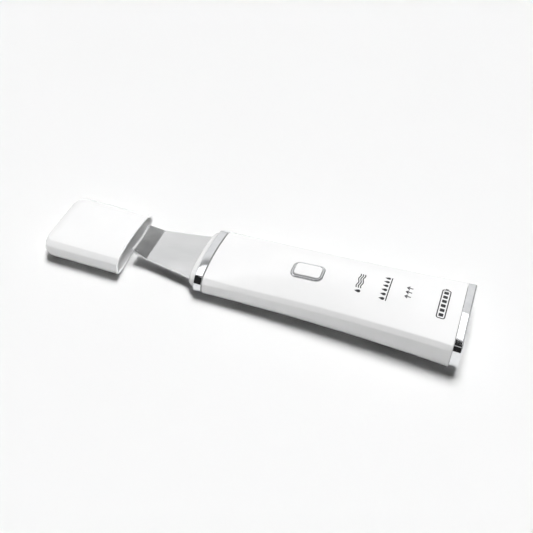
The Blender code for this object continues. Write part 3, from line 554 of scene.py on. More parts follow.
def make_white(name, depth, share):
    """Glossy white plastic that light enters to a depth; faint waviness and differences in polish."""
    made = textured(name, (0.805, 0.806, 0.808), (0.825, 0.825, 0.825), (0.13, 0.2), 60.0)
    tree = made.node_tree
    shader = tree.nodes["Principled BSDF"]
    shader.inputs["IOR"].default_value = 1.52
    shader.inputs["Subsurface Weight"].default_value = share
    shader.inputs["Subsurface Radius"].default_value = (1.0, 0.97, 0.94)
    shader.inputs["Subsurface Scale"].default_value = depth
    shader.inputs["Coat Weight"].default_value = 0.25
    shader.inputs["Coat Roughness"].default_value = 0.06
    relief(tree, noise(tree, 2600.0, 2.0), 0.05, 0.01 * MM)
    return made


def make_chrome():
    """Bright chrome plate with very light polishing haze."""
    return textured(
        "chrome_plate", (0.80, 0.81, 0.83), (0.86, 0.87, 0.88), (0.035, 0.075), 240.0,
        metallic=1.0,
    )


def make_steel():
    """Stainless sheet, finely brushed along the blade, with a faint cloudy polish."""
    made = textured(
        "brushed_blade_steel", (0.80, 0.805, 0.81), (0.96, 0.963, 0.966), (0.17, 0.26), 75.0,
        metallic=0.92, stretch=(0.6, 1.0, 1.0), detail=4.0,
    )
    tree = made.node_tree
    relief(tree, noise(tree, 3000.0, 2.0, (0.04, 1.0, 1.0)), 0.06, 0.01 * MM)
    shader = tree.nodes["Principled BSDF"]
    shader.inputs["Anisotropic"].default_value = 0.3
    return made


WHITE = make_white("white_gloss_plastic", 1.2 * MM, 0.08)
CAP_WHITE = make_white("thin_white_plastic", 2.5 * MM, 0.25)
CHROME = make_chrome()
STEEL = make_steel()
PRINT_INK = textured("print_ink", (0.020, 0.020, 0.022), (0.040, 0.040, 0.043), (0.4, 0.55), 1500.0)
SOCKET_STEEL = textured(
    "socket_steel", (0.50, 0.50, 0.52), (0.66, 0.66, 0.68),
    (0.25, 0.4), 800.0, metallic=1.0,
)
SOCKET_BLACK = textured(
    "socket_insulator", (0.012, 0.012, 0.013), (0.025, 0.025, 0.027),
    (0.4, 0.55), 700.0,
)
SILICONE = textured("silicone", (0.72, 0.72, 0.69), (0.80, 0.80, 0.77), (0.38, 0.5), 320.0, bump=0.1)
CERAMIC = textured(
    "silvered_ceramic", (0.47, 0.45, 0.40), (0.62, 0.59, 0.52),
    (0.45, 0.65), 1400.0, bump=0.15,
)
NYLON = textured("dark_nylon", (0.022, 0.022, 0.025), (0.040, 0.040, 0.043), (0.45, 0.6), 1100.0, bump=0.2)
ZINC = textured(
    "zinc_plate", (0.52, 0.53, 0.55), (0.66, 0.67, 0.68),
    (0.28, 0.42), 1600.0, bump=0.1, metallic=1.0,
)
EPOXY = textured(
    "black_epoxy", (0.018, 0.018, 0.020), (0.034, 0.034, 0.037),
    (0.4, 0.55), 1800.0, bump=0.15,
)
BOARD = textured("solder_mask", (0.008, 0.075, 0.030), (0.016, 0.120, 0.052), (0.25, 0.4), 420.0, bump=0.1)
LENS = textured("clear_lens", (0.74, 0.79, 0.84), (0.83, 0.88, 0.92), (0.08, 0.16), 900.0)
FOIL = textured(
    "foil_wrap", (0.50, 0.51, 0.53), (0.64, 0.65, 0.67),
    (0.35, 0.55), 260.0, bump=0.35, metallic=0.85,
)
COPPER = textured(
    "copper_winding", (0.38, 0.13, 0.05), (0.62, 0.26, 0.11),
    (0.25, 0.4), 1200.0, bump=0.3, metallic=0.9,
)
FOAM = textured(
    "cellular_foam", (0.010, 0.010, 0.011), (0.045, 0.045, 0.048),
    (0.85, 0.98), 3200.0, bump=0.6,
)
RED_SLEEVE = textured(
    "red_sleeve", (0.38, 0.012, 0.010), (0.52, 0.022, 0.018),
    (0.35, 0.5), 900.0, bump=0.1,
)
BLACK_SLEEVE = textured(
    "black_sleeve", (0.012, 0.012, 0.012), (0.028, 0.028, 0.028),
    (0.35, 0.5), 900.0, bump=0.1,
)
GOLD = textured("contact_gold", (0.66, 0.46, 0.18), (0.80, 0.60, 0.28), (0.2, 0.3), 900.0, metallic=1.0)


# ---------------------------------------------------------------- casings
def seam_corner(side, edge, sign):
    """The small rounding where an outer face meets the parting plane, from the plane outwards."""
    points = []
    for turn in (0.0, 0.5, 1.0):
        inward = SEAM_RADIUS * (1.0 - math.sin(turn))
        points.append((side - inward, edge + sign * SEAM_RADIUS * (1.0 - math.cos(turn))))
    return points


def top_section(x, rounding):
    """The top casing's cross-section: a deep channel with a rebate along both edges."""
    edge = SPLIT_Z + GAP / 2.0
    rebate_top = edge + LIP + GAP
    marks = housing_marks(x, rounding)
    outer = lower_corner(marks, edge + SEAM_RADIUS, marks[2], 7)
    outer = seam_corner(outer[0][0], edge, 1.0) + outer + upper_side(marks, 22)
    marks = housing_marks(x, WALL + rounding)
    inner = lower_corner(marks, rebate_top, marks[2], 3) + upper_side(marks, 9, soft=3)
    rebate = inner[0][0] + WALL / 2.0 + GAP / 2.0
    inner = [(rebate, edge), (rebate, rebate_top)] + inner
    return across(outer[::-1], shared_end=True), across(inner[::-1], shared_end=True)


def back_section(x, rounding):
    """The back casing's cross-section: a shallow tray with an inner lip."""
    edge = SPLIT_Z - GAP / 2.0
    lip_top = edge + LIP + GAP
    outer = [(FLAT_HALF * k / 4.0, rounding) for k in (1, 2, 3)]
    outer += lower_corner(housing_marks(x, rounding), rounding, edge - SEAM_RADIUS, 16)
    outer += seam_corner(outer[-1][0], edge, -1.0)[::-1]
    inner = lower_corner(housing_marks(x, WALL + rounding), WALL + rounding, lip_top, 9)
    shoulder = inner[-1][0] + WALL / 2.0 - GAP / 2.0
    inner = inner + [(shoulder, lip_top), (shoulder, edge)]
    return across(outer), across(inner)


def make_casings():
    """Top casing with the key's opening, and the back casing."""
    sections = [
        [ring_at(x, chain) for chain in top_section(x, rounding)]
        for x, rounding in rounded_ends(90)
    ]
    top = finish_mesh("top_casing", channel(sections), WHITE)
    grow = 4.0 * GAP + 2.0 * BEZEL_WIDTH
    corner = BUTTON_CORNER + BEZEL_WIDTH + 2 * GAP
    outline = rounded_outline(BUTTON_LENGTH + grow, BUTTON_WIDTH + grow, corner)
    rings = [[Vector((BUTTON_X + x, y, z)) for x, y in outline] for z in OPENING_Z]
    subtract(top, finish_mesh("opening", loft(rings), WHITE))
    place(top, "housing", "white_gloss", "top_shell")
    sections = [
        [ring_at(x, chain) for chain in back_section(x, rounding)]
        for x, rounding in rounded_ends(44)
    ]
    back = finish_mesh("back_casing", channel(sections), WHITE)
    place(back, "housing", "white_gloss", "back_shell")


def eased_edge(start, radius, sign):
    """A band's rounded edge as (x, inset) points, from its end face to its outer face."""
    return [
        (start + sign * radius * (1.0 - math.cos(turn)), radius * (1.0 - math.sin(turn)))
        for turn in spaced(0.0, math.pi / 2, 6)
    ]


def make_head_ring():
    """Chrome band with softly rounded edges."""
    profile = eased_edge(-RING_LENGTH, RING_FRONT_RADIUS, 1.0) + [(-RING_LENGTH / 2.0, 0.0)]
    profile += eased_edge(-SEAM, RING_SEAM_RADIUS, -1.0)[::-1]
    profile += [(-SEAM, RING_WALL), (-RING_LENGTH, RING_WALL)]
    rings = [ring_at(x, whole_section(housing_marks(0.0, inset), 16)) for x, inset in profile]
    ring = finish_mesh("chrome_head_band", hoop(rings), CHROME)
    place(ring, "housing", "chrome", "head_ring")


def nose_marks(turn, inset=0.0):
    """Marks of the nose's cross-section; it draws in as it rounds over from 0 to a quarter turn."""
    half, low, belly, top, edge, shoulder, flat = housing_marks(0.0, COLLAR_INSET + inset)
    past = 1.0 - math.cos(turn)
    share = 1.0 - COLLAR_THINS * past / (top - belly)
    levels = [belly + (z - belly) * share for z in (low, top, edge[1], shoulder[1])]
    side = COLLAR_NARROWS * past
    edge = (edge[0] - side, levels[2])
    shoulder = (shoulder[0] - side, levels[3])
    return half - side, levels[0], belly, levels[1], edge, shoulder, flat


def nose_ring(turn):
    """A ring of the nose at a turn; its sides reach less far forward than its middle."""
    reach = COLLAR_LENGTH * math.sin(turn)
    ring = ring_at(-RING_LENGTH - reach, whole_section(nose_marks(turn)))
    for point in ring:
        point.x += COLLAR_SIDE_BACK * reach * (point.y / HEAD_HALF_WIDTH) ** 4
    return ring


def make_collar():
    """White nose: a flange against the band, a fine groove, and the rounded lip round the blade."""
    profile = [
        (COLLAR_BACK, 0.0),
        (RING_LENGTH, 0.0),
        (GROOVE_START - 0.15 * MM, 0.0),
        (GROOVE_START, GROOVE_EASE),
        (GROOVE_START + 0.05 * MM, GROOVE_DEPTH),
        (GROOVE_END - 0.05 * MM, GROOVE_DEPTH),
        (GROOVE_END, GROOVE_EASE),
    ]
    rings = [ring_at(-back, whole_section(nose_marks(0.0, inset))) for back, inset in profile]
    rings += [nose_ring(turn) for turn in spaced(math.radians(17.5), math.pi / 2, 18)]
    collar = finish_mesh("nose_collar_fine", loft(rings), CAP_WHITE)
    half = BLADE_ROOT_HALF + SLOT_SIDE_GAP
    slot = BLADE_THICK / 2.0 + GAP * 0.8
    cutter = box_mesh((-20 * MM, -half, BLADE_Z - slot), (5 * MM, half, BLADE_Z + slot))
    subtract(collar, finish_mesh("slot", cutter, WHITE))
    place(collar, "housing", "white_gloss", "nose_collar")


# ---------------------------------------------------------------- blade
def blade_half(x):
    """Half width of the blade in plan."""
    if x < BLADE_BEND_X:
        share = (x - BLADE_TIP_X) / (BLADE_BEND_X - BLADE_TIP_X)
        return BLADE_TIP_HALF + (BLADE_BEND_HALF - BLADE_TIP_HALF) * share
    share = min((x - BLADE_BEND_X) / (BLADE_ROOT_X - BLADE_BEND_X), 1.0)
    return BLADE_BEND_HALF + (BLADE_ROOT_HALF - BLADE_BEND_HALF) * share * (0.82 + 0.18 * share)


def blade_lift(x):
    """Height of the bent tip over the flat of the blade; the bend has a small radius."""
    soft = 0.5 * MM
    slope = math.tan(BLADE_TIP_ANGLE)
    past = BLADE_BEND_X - x
    if past < -soft:
        return 0.0
    if past < soft:
        return slope * (past + soft) ** 2 / (4.0 * soft)
    return slope * past


def blade_plan():
    """Stations along the blade and its tang, as (x, half width), crowded at the tip and the bend."""
    rows = [BLADE_TIP_X + step * MM for step in (0.0, 0.12, 0.3, 0.6, 1.0, 1.5)]
    rows += spaced(BLADE_TIP_X + 2.2 * MM, BLADE_BEND_X - 0.8 * MM, 8)
    rows += spaced(BLADE_BEND_X - 0.5 * MM, BLADE_BEND_X + 0.5 * MM, 7)
    rows += spaced(BLADE_BEND_X + 1.2 * MM, BLADE_ROOT_X, 22)
    plan = []
    for x in rows:
        half = blade_half(x)
        left = BLADE_CORNER - (x - BLADE_TIP_X)
        if left > 0.0:
            half -= BLADE_CORNER - math.sqrt(max(BLADE_CORNER ** 2 - left ** 2, 0.0))
        plan.append((x, half))
    plan += [(-5.2 * MM, BLADE_ROOT_HALF), (-4.2 * MM, BLADE_ROOT_HALF - 1.0 * MM)]
    plan += [(-2.6 * MM, TANG_HALF + 0.6 * MM), (-1.6 * MM, TANG_HALF)]
    plan += [(25.5 * MM, TANG_HALF), (27.0 * MM, TANG_END_HALF)]
    return plan


def blade_point(x, y, side):
    """A point of the blade's upper (1) or lower (-1) face; the tip is hollowed and ground thin."""
    back = x - BLADE_TIP_X
    fade = max(1.0 - back / BLADE_HOLLOW_REACH, 0.0)
    shift = BLADE_HOLLOW * (1.0 - (y / BLADE_TIP_HALF) ** 2) * fade
    grind = (1.0 - BLADE_EDGE_SHARE) * max(back, 0.0) / BLADE_EDGE_REACH
    thin = min(1.0, BLADE_EDGE_SHARE + grind)
    z = BLADE_Z + blade_lift(x + shift) + side * BLADE_THICK / 2.0 * thin
    return x + shift, y, z


def make_blade():
    """The visible spatula with eased edges, and its tang inside the head."""
    columns = 24
    plan = blade_plan()
    mesh = bmesh.new()
    layers = []
    for side in (-1.0, 1.0):
        grid = []
        for x, half in plan:
            line = []
            for k in range(columns + 1):
                y = half * math.sin(math.pi / 2 * (2.0 * k / columns - 1.0))
                line.append(mesh.verts.new(blade_point(x, y, side)))
            grid.append(line)
        layers.append(grid)
    low, high = layers
    for grid in layers:
        skin(mesh, grid, closed=False)
    for end in (0, -1):
        skin(mesh, [low[end], high[end]], closed=False)
    for k in (0, columns):
        skin(mesh, [[row[k] for row in low], [row[k] for row in high]], closed=False)
    blade = finish_mesh("steel_spatula", mesh, STEEL)
    bevel = blade.modifiers.new("eased_edges", "BEVEL")
    bevel.width = BLADE_EASE
    bevel.segments = 2
    bevel.limit_method = "ANGLE"
    bevel.angle_limit = math.radians(40.0)
    place(blade, "housing", "blade_steel", "blade")


# ---------------------------------------------------------------- key and bezel
def drape(outline, offset):
    """Lays an outline about the key's centre on the housing's top, offset upwards."""
    return [Vector((BUTTON_X + x, y, height(BUTTON_X + x) + offset)) for x, y in outline]


def key_outline(wider, corner):
    """The key's outline, made wider all round."""
    return rounded_outline(BUTTON_LENGTH + 2 * wider, BUTTON_WIDTH + 2 * wider, corner, 12)


def make_bezel():
    """Chrome bezel with a rounded rim."""
    profile = [(0.0, BEZEL_FOOT)]
    for angle in spaced(0.0, 90.0, 5):
        turn = math.radians(angle)
        up = BEZEL_RISE - BEZEL_SOFT * (1.0 - math.sin(turn))
        profile.append((BEZEL_SOFT * (1.0 - math.cos(turn)), up))
    profile += [(BEZEL_WIDTH - grow, offset) for grow, offset in reversed(profile)]
    rings = []
    for grow, offset in profile:
        rings.append(drape(key_outline(GAP + grow, BUTTON_CORNER + GAP + grow), offset))
    bezel = finish_mesh("bezel_rim", hoop(rings), CHROME)
    place(bezel, "housing", "chrome", "button_bezel")


def make_key():
    """The key, with its flange under the casing and a softened top edge."""
    flange = key_outline(FLANGE_WIDER, FLANGE_CORNER)
    rings = [drape(flange, FLANGE_BOTTOM), drape(flange, FLANGE_TOP)]
    rings.append(drape(key_outline(0.0, BUTTON_CORNER), FLANGE_TOP))
    for angle in spaced(0.0, 90.0, 7):
        turn = math.radians(angle)
        cut = BUTTON_SOFT * (1.0 - math.cos(turn))
        outline = key_outline(-cut, BUTTON_CORNER - cut)
        rings.append(drape(outline, BUTTON_RISE - BUTTON_SOFT * (1.0 - math.sin(turn))))
    for share in (0.8, 0.5, 0.2):
        inner = [(x * share, y * share) for x, y in outline]
        rings.append(drape(inner, BUTTON_RISE + BUTTON_DOME * (1.0 - share ** 2)))
    key = finish_mesh("key_cap", loft(rings), WHITE)
    place(key, "key", "white_gloss", "button_key")


# ---------------------------------------------------------------- tail
def tail_ring(x, inset):
    """A ring of the tail cap at x; its sides stand in and its underside stands up from the shells."""
    half, low, belly, top, edge, shoulder, flat = housing_marks(x, inset)
    half -= TAIL_STEP
    edge = (edge[0] - TAIL_STEP, edge[1])
    marks = (half, low + TAIL_LIFT, belly, top, edge, shoulder, flat)
    return [Vector((x, y, z)) for y, z in whole_section(marks, 16)]


def socket_outline(x, half_y, half_z):
    """A rounded slot's outline about the socket's middle, upright at x."""
    middle = (socket_low.z + socket_high.z) / 2.0
    outline = rounded_outline(2 * half_y, 2 * half_z, half_z - 0.02 * MM, 10)
    return [Vector((x, y, middle + z)) for y, z in outline]


def make_tail():
    """Chrome tail cap with a rounded rim, hollow, with the socket's window; returns the cap."""
    start = LENGTH + SEAM
    stop = tail_high.x
    rings = [tail_ring(x, inset) for x, inset in eased_edge(start, TAIL_SEAM_RADIUS, 1.0)]
    for turn in spaced(0.0, math.pi / 2, 12):
        x = stop - TAIL_ROUNDING * (1.0 - math.sin(turn))
        rings.append(tail_ring(x, TAIL_ROUNDING * (1.0 - math.cos(turn))))
    tail = finish_mesh("chrome_tail_cap", loft(rings), CHROME)
    cavity = tail_ring(start, TAIL_CAP_WALL)
    ends = (start - 1.0 * MM, stop - TAIL_CAP_FLOOR)
    hollow = [[Vector((x, p.y, p.z)) for p in cavity] for x in ends]
    subtract(tail, finish_mesh("hollow", loft(hollow), CHROME))
    half_y = socket_high.y + GAP
    half_z = (socket_high.z - socket_low.z) / 2.0 + GAP
    window = [socket_outline(x, half_y, half_z) for x in (start - 2 * MM, stop + 3 * MM)]
    subtract(tail, finish_mesh("window", loft(window), CHROME))
    place(tail, "housing", "chrome", "tail_cap")
    return tail


def make_socket():
    """The charging socket: its steel shell, the tongue in it and the contacts on the tongue."""
    half_z = (socket_high.z - socket_low.z) / 2.0
    profile = [(socket_low.x, 0.0), (socket_high.x - SOCKET_RIM, 0.0), (socket_high.x, SOCKET_RIM)]
    profile += [(socket_high.x, SOCKET_WALL), (socket_low.x + SOCKET_FLOOR, SOCKET_WALL)]
    rings = [socket_outline(x, socket_high.y - inset, half_z - inset) for x, inset in profile]
    socket = finish_mesh("socket_shell", loft(rings), SOCKET_STEEL)
    place(socket, "housing", "socket_steel", "charging_socket")

    middle = (socket_low.z + socket_high.z) / 2.0
    end = socket_high.x - TONGUE_SETBACK
    start = socket_low.x + SOCKET_FLOOR + 0.1 * MM
    low = (start, -TONGUE_HALF_WIDTH, middle - TONGUE_HALF_THICK)
    tongue = eased_box(low, (end, TONGUE_HALF_WIDTH, middle + TONGUE_HALF_THICK), 0.12 * MM)
    place(finish_mesh("socket_tongue", tongue, SOCKET_BLACK), "housing", "black_plastic")
    mesh = bmesh.new()
    for side in (-1, 1):
        z = middle + side * (TONGUE_HALF_THICK + 0.01 * MM)
        for number in range(CONTACT_COUNT):
            y = (number - (CONTACT_COUNT - 1) / 2.0) * CONTACT_PITCH
            low = (end - CONTACT_LENGTH, y - CONTACT_HALF_WIDTH, z - CONTACT_HALF_THICK)
            high = (end - CONTACT_SETBACK, y + CONTACT_HALF_WIDTH, z + CONTACT_HALF_THICK)
            join(mesh, eased_box(low, high, 0.008 * MM))
    place(finish_mesh("socket_contacts", mesh, GOLD), "housing", "socket_steel")


# ---------------------------------------------------------------- printed symbols
def top_level(x, y):
    """Height of the domed top at a place in plan."""
    marks = housing_marks(x, 0.0)
    top = marks[3]
    shoulder = marks[5]
    return top - (top - shoulder[1]) * (y / shoulder[0]) ** 2


def on_top(origin, point, lift):
    """A symbol's (right, up) point laid on the top; symbols read from the head, upright along -X."""
    x = origin[0] - point[1]
    y = origin[1] + point[0]
    return Vector((x, y, top_level(x, y) + lift))


def refined(points, closed):
    """The same path with stations close enough together to follow the dome."""
    path = []
    ends = points[1:] + points[:1] if closed else points[1:]
    for start, end in zip(points, ends):
        pieces = max(int(math.dist(start, end) / (0.5 * MM)), 1)
        for i in range(pieces):
            path.append(tuple(a + (b - a) * i / pieces for a, b in zip(start, end)))
    if not closed:
        path.append(points[-1])
    return path


def stroke(mesh, origin, points, closed=False):
    """A thin printed line along a path."""
    rings = []
    path = refined(points, closed)
    count = len(path)
    for i, here in enumerate(path):
        before = path[i - 1] if closed or i > 0 else here
        after = path[(i + 1) % count] if closed or i < count - 1 else here
        along_line = (after[0] - before[0], after[1] - before[1])
        length = math.hypot(*along_line)
        aside = (-along_line[1] / length * LINE / 2.0, along_line[0] / length * LINE / 2.0)
        left = (here[0] + aside[0], here[1] + aside[1])
        right = (here[0] - aside[0], here[1] - aside[1])
        ring = [on_top(origin, left, -PRINT_LIFT), on_top(origin, right, -PRINT_LIFT)]
        ring += [on_top(origin, right, PRINT_LIFT), on_top(origin, left, PRINT_LIFT)]
        rings.append(ring)
    join(mesh, hoop(rings) if closed else loft(rings))


def patch(mesh, origin, outline):
    """A thin printed area inside an outline."""
    faces = [[on_top(origin, point, lift) for point in outline] for lift in (-PRINT_LIFT, PRINT_LIFT)]
    join(mesh, loft(faces))


def drop_outline(right, size):
    """A water drop standing on the base line."""
    points = []
    for i in range(28):
        turn = 2.0 * math.pi * i / 28
        wide = math.sin(turn) * math.sin(turn / 2.0) ** 1.5
        points.append((right + 0.40 * size * wide, size * (0.5 + 0.5 * math.cos(turn))))
    return points


def wave_line(right, up, length):
    """A water wave of two crests."""
    points = []
    for i in range(25):
        share = i / 24
        points.append((right + length * share, up + WAVE_RISE * math.sin(4.0 * math.pi * share)))
    return points


def wash_symbol(mesh, origin):
    """Washing: a drop and three waves."""
    patch(mesh, origin, drop_outline(-4.5 * MM, 2.9 * MM))
    for up in (0.3, 1.35, 2.4):
        stroke(mesh, origin, wave_line(-2.7 * MM, up * MM, 9.0 * MM))


def moisten_symbol(mesh, origin):
    """Moistening: a row of drops over a line."""
    for right in (-5.2, -2.6, 0.0, 2.6, 5.2, 7.8):
        patch(mesh, origin, drop_outline(right * MM, 2.7 * MM))
    stroke(mesh, origin, [(-6.1 * MM, -0.7 * MM), (8.7 * MM, -0.7 * MM)])


def lift_symbol(mesh, origin):
    """Lifting: three arrows."""
    barb = 0.95 * MM
    barb_up = 1.5 * MM
    for middle in (-0.4, 2.3, 5.0):
        right = middle * MM
        stroke(mesh, origin, [(right, 0.0), (right, 2.2 * MM)])
        stroke(mesh, origin, [(right - barb, barb_up), (right, 2.75 * MM), (right + barb, barb_up)])


def charge_symbol(mesh, origin):
    """Charge level: a cell's outline with its terminal and six bars."""
    terminal = 9.2 * MM
    stroke(mesh, origin, rounded_outline(17.2 * MM, 3.7 * MM, 0.9 * MM, 5), closed=True)
    stroke(mesh, origin, [(terminal, -0.7 * MM), (terminal, 0.7 * MM)])
    bar = rounded_outline(1.75 * MM, 2.1 * MM, 0.25 * MM, 3)
    for number in range(6):
        right = (number - 2.5) * 2.7 * MM
        patch(mesh, origin, [(right + x, y) for x, y in bar])


def make_symbols():
    """Plain function symbols in a row behind the key."""
    mesh = bmesh.new()
    wash_symbol(mesh, (72.7 * MM, 0.0))
    moisten_symbol(mesh, (84.0 * MM, 0.0))
    lift_symbol(mesh, (95.0 * MM, 0.0))
    charge_symbol(mesh, (109.6 * MM, 1.6 * MM))
    place(finish_mesh("printed_symbols", mesh, PRINT_INK), "housing", "black_plastic")


# ---------------------------------------------------------------- protective cap
def cap_marks(round_in, inset):
    """Marks of the cap's cross-section: the housing's at the head, drawn in towards the closed end."""
    half, low, belly, top, edge, shoulder, flat = housing_marks(0.0, inset)
    middle = HEAD_HEIGHT / 2.0
    share = 1.0 - 0.45 * round_in / middle
    levels = [middle + (z - middle) * share for z in (low, belly, top, edge[1], shoulder[1])]
    edge = (edge[0] - round_in, levels[3])
    shoulder = (shoulder[0] - round_in, levels[4])
    flat = max(flat - 0.5 * round_in, 2.0 * MM)
    return half - round_in, levels[0], levels[1], levels[2], edge, shoulder, flat


def cap_ring(s, inset, power=2.2):
    """A ring of the cap at distance s behind its mouth, set in; the closed end rounds off."""
    past = min(max(s - (CAP_LENGTH - CAP_CORNER), 0.0) / CAP_CORNER, 1.0)
    round_in = CAP_CORNER * (1.0 - (1.0 - past ** power) ** (1.0 / power))
    section = whole_section(cap_marks(round_in, inset), 14)
    ring = ring_at(CAP_MOUTH_X - s, section, mouth=CAP_MOUTH_X)
    return [p + Vector((0.0, CAP_ASIDE, 0.0)) for p in ring]


def make_cap():
    """The slip-on cover with a softly rounded mouth rim."""
    rim = CAP_WALL / 2.0
    straight = CAP_LENGTH - CAP_CORNER
    lengths = spaced(1.2 * MM, straight, 26)
    for angle in spaced(6.0, 88.0, 16):
        lengths.append(straight + CAP_CORNER * math.sin(math.radians(angle)))
    share = (CAP_LENGTH - CAP_WALL - 0.2 * MM) / CAP_LENGTH
    rings = [cap_ring(s, 0.0) for s in reversed(lengths)]
    for angle in spaced(0.0, 180.0, 13):
        turn = math.radians(angle)
        rings.append(cap_ring(CAP_RIM_REACH * (1.0 - math.sin(turn)), rim * (1.0 - math.cos(turn))))
    rings += [cap_ring(s * share, CAP_WALL) for s in lengths]
    cap = finish_mesh("slip_on_cap", loft(rings), CAP_WHITE)
    place(cap, "cap", "white_gloss", "protective_cap")


# ---------------------------------------------------------------- parts kept from the frame
INNER_SURFACES = (
    (SILICONE, ("blade_grommet",)),
    (CERAMIC, ("piezo_plate",)),
    (NYLON, ("clamp_base", "clamp_strap", "end_plate", "switch_plunger")),
    (ZINC, ("clamp_screw", "board_screw", "plate_screw")),
    (BOARD, ("circuit_board",)),
    (EPOXY, ("control_chip", "step_up_transformer", "switch_body")),
    (LENS, ("mode_led",)),
    (FOIL, ("battery_cell", "filter_capacitor")),
    (FOAM, ("cell_pad",)),
    (COPPER, ("choke_coil",)),
    (RED_SLEEVE, ("cell_lead_red", "piezo_lead_red")),
    (BLACK_SLEEVE, ("cell_lead_black", "piezo_lead_black")),
)


def dress_inner_parts():
    """Gives every part kept from the frame its detailed surface."""
    for piece in bpy.data.objects:
        for surface, names in INNER_SURFACES:
            if piece.type == "MESH" and piece.name.startswith(names):
                piece.data.materials.clear()
                piece.data.materials.append(surface)


# ---------------------------------------------------------------- setting
CAMERA_AZIMUTH = math.radians(20.19)
CAMERA_ELEVATION = math.radians(47.25)
CAMERA_DISTANCE = 0.356
CAMERA_TARGET = Vector((0.02486, 0.00277, 0.008))
CAMERA_LENS = 49.84
SKY_SEEN = 0.93             # grey of the sky where it is seen directly
SKY_AT_ENDS = 0.62          # and where the object's two ends mirror it
KEY_AZIMUTH = 94.0
KEY_ELEVATION = 65.0
KEY_SPREAD = 28.0
FILL_SPREAD = 60.0
PANEL_DISTANCE = 0.45


def make_camera():
    """Camera at the object's near side, turned towards the head and looking down."""
    data = bpy.data.cameras.new("camera")
    data.lens = CAMERA_LENS
    data.sensor_width = 36.0
    data.clip_start = 0.01
    camera = bpy.data.objects.new("camera", data)
    bpy.context.scene.collection.objects.link(camera)
    away = Vector((
        math.sin(CAMERA_AZIMUTH) * math.cos(CAMERA_ELEVATION),
        -math.cos(CAMERA_AZIMUTH) * math.cos(CAMERA_ELEVATION),
        math.sin(CAMERA_ELEVATION),
    ))
    camera.location = CAMERA_TARGET + away * CAMERA_DISTANCE
    camera.rotation_euler = away.to_track_quat("Z", "Y").to_euler()
    bpy.context.scene.camera = camera


def make_floor():
    """Plain pale surface."""
    mesh = bmesh.new()
    bmesh.ops.create_grid(mesh, x_segments=1, y_segments=1, size=1.5)
    surface = textured("floor_white", (0.908, 0.908, 0.908), (0.912, 0.912, 0.912), (0.6, 0.7), 8.0)
    floor = finish_mesh("floor", mesh, surface)
    return floor


def direction(azimuth, elevation):
    """Unit vector towards a place in the sky; azimuth in degrees from +X towards +Y."""
    a = math.radians(azimuth)
    e = math.radians(elevation)
    return Vector((math.cos(a) * math.cos(e), math.sin(a) * math.cos(e), math.sin(e)))


def add_far_light(name, azimuth, elevation, energy, spread_angle):
    """A broad distant light; it shades surfaces but isn't mirrored in them."""
    data = bpy.data.lights.new(name, "SUN")
    data.energy = energy
    data.angle = math.radians(spread_angle)
    light = bpy.data.objects.new(name, data)
    light.rotation_euler = direction(azimuth, elevation).to_track_quat("Z", "Y").to_euler()
    light.visible_glossy = False
    bpy.context.scene.collection.objects.link(light)
    return light


def link_lights(piece, state, lights):
    """Makes some lights reach only one piece (INCLUDE) or everything but that piece (EXCLUDE)."""
    linked = bpy.data.collections.new(piece.name + "_" + state.lower())
    linked.objects.link(piece)
    linked.collection_objects[0].light_linking.link_state = state
    for light in lights:
        light.light_linking.receiver_collection = linked


def add_panel(name, origin, azimuth, elevation, size, power):
    """A softbox that only shows as a reflection, placed by the direction in which a piece sees it."""
    data = bpy.data.lights.new(name, "AREA")
    data.shape = "RECTANGLE"
    data.size = size[0]
    data.size_y = size[1]
    data.energy = power
    aim = direction(azimuth, elevation)
    light = bpy.data.objects.new(name, data)
    light.location = Vector(origin) + aim * PANEL_DISTANCE
    light.rotation_euler = aim.to_track_quat("Z", "Y").to_euler()
    light.visible_diffuse = False
    bpy.context.scene.collection.objects.link(light)
    return light


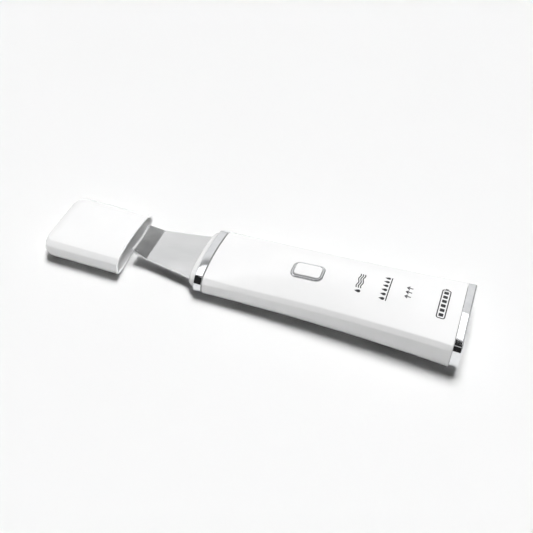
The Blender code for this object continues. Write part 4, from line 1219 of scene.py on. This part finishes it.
def sky_shader(world):
    """Plain pale behind the subject; dim sky for shading; a darker studio for mirror-like faces."""
    tree = world.node_tree
    nodes = tree.nodes
    links = tree.links
    nodes.clear()
    where = nodes.new("ShaderNodeTexCoord")
    parts = nodes.new("ShaderNodeSeparateXYZ")
    links.new(where.outputs["Generated"], parts.inputs["Vector"])

    def ramp(source, stops):
        """A grey ramp over a value from -1 to 1."""
        scale = nodes.new("ShaderNodeMapRange")
        scale.inputs["From Min"].default_value = -1.0
        scale.inputs["From Max"].default_value = 1.0
        links.new(source, scale.inputs["Value"])
        node = nodes.new("ShaderNodeValToRGB")
        elements = node.color_ramp.elements
        while len(elements) < len(stops):
            elements.new(0.5)
        for element, (value, grey) in zip(elements, stops):
            element.position = (value + 1.0) / 2.0
            element.color = (grey, grey, grey, 1.0)
        links.new(scale.outputs["Result"], node.inputs["Fac"])
        return node.outputs["Color"]

    def mix(kind, factor, first, second):
        """Mixes or multiplies two colours."""
        node = nodes.new("ShaderNodeMix")
        node.data_type = "RGBA"
        node.blend_type = kind
        if hasattr(factor, "links"):
            links.new(factor, node.inputs["Factor"])
        else:
            node.inputs["Factor"].default_value = factor
        for source, socket in ((first, node.inputs[6]), (second, node.inputs[7])):
            if hasattr(source, "links"):
                links.new(source, socket)
            else:
                socket.default_value = (source, source, source, 1.0)
        return node.outputs[2]

    up = parts.outputs["Z"]
    lengthwise = parts.outputs["X"]
    sideways = parts.outputs["Y"]
    behind = ramp(up, (
        (-1.0, 0.55), (0.0, 0.60), (0.40, 0.62), (0.66, 0.85), (0.732, 0.85),
        (0.75, 0.30), (0.78, 0.02), (0.94, 0.02), (0.98, 0.50), (1.0, 0.55),
    ))
    side = ramp(lengthwise, ((-1.0, 1.0), (0.10, 1.0), (0.30, 0.45), (1.0, 0.35)))
    behind = mix("MULTIPLY", 1.0, behind, side)
    front = ramp(up, (
        (-1.0, 0.30), (0.0, 0.15), (0.08, 0.02), (0.94, 0.02), (0.98, 0.50), (1.0, 0.55),
    ))
    rear = ramp(sideways, ((-1.0, 0.0), (-0.04, 0.0), (0.04, 1.0), (1.0, 1.0)))
    mirrored = mix("MIX", rear, front, behind)
    ends = ramp(lengthwise, (
        (-1.0, 1.0), (-0.78, 1.0), (-0.64, 0.0), (0.50, 0.0), (0.70, 1.0), (1.0, 1.0),
    ))
    mirrored = mix("MIX", ends, mirrored, SKY_AT_ENDS)
    shading = ramp(sideways, ((-1.0, 0.01), (0.0, 0.02), (1.0, 0.06)))
    ray = nodes.new("ShaderNodeLightPath")
    colour = mix("MIX", ray.outputs["Is Glossy Ray"], shading, mirrored)
    colour = mix("MIX", ray.outputs["Is Camera Ray"], colour, SKY_SEEN)
    background = nodes.new("ShaderNodeBackground")
    links.new(colour, background.inputs["Color"])
    output = nodes.new("ShaderNodeOutputWorld")
    links.new(background.outputs["Background"], output.inputs["Surface"])


def make_light(floor, tail_cap):
    """Key from behind, fills from three sides, dim sky and two softboxes mirrored in the chrome."""
    world = bpy.data.worlds.new("studio")
    bpy.context.scene.world = world
    world.use_nodes = True
    sky_shader(world)
    add_far_light("key", KEY_AZIMUTH, KEY_ELEVATION, 1.62, KEY_SPREAD)
    floor_key = add_far_light("floor_key", KEY_AZIMUTH, KEY_ELEVATION, 1.99, KEY_SPREAD)
    link_lights(floor, "INCLUDE", (floor_key,))
    near_fill = add_far_light("near_fill", -25.0, 76.0, 1.48, FILL_SPREAD)
    tail_fill = add_far_light("tail_fill", 0.0, 19.0, 1.65, FILL_SPREAD)
    head_fill = add_far_light("head_fill", 180.0, 18.0, 1.1, FILL_SPREAD)
    link_lights(floor, "EXCLUDE", (near_fill, tail_fill, head_fill))
    near_head = (-0.003, -0.011, 0.010)
    add_panel("head_softbox", near_head, 126.0, 54.0, (0.14, 0.07), 0.043)
    near_tail = (0.120, -0.005, 0.015)
    tail_panel = add_panel("tail_softbox", near_tail, 82.0, 53.0, (0.12, 0.09), 0.048)
    link_lights(tail_cap, "INCLUDE", (tail_panel,))


make_casings()
make_head_ring()
make_collar()
make_blade()
make_bezel()
make_key()
chrome_tail = make_tail()
make_socket()
make_cap()
make_symbols()
dress_inner_parts()
make_camera()
make_light(make_floor(), chrome_tail)
bpy.context.scene.view_settings.view_transform = "Standard"
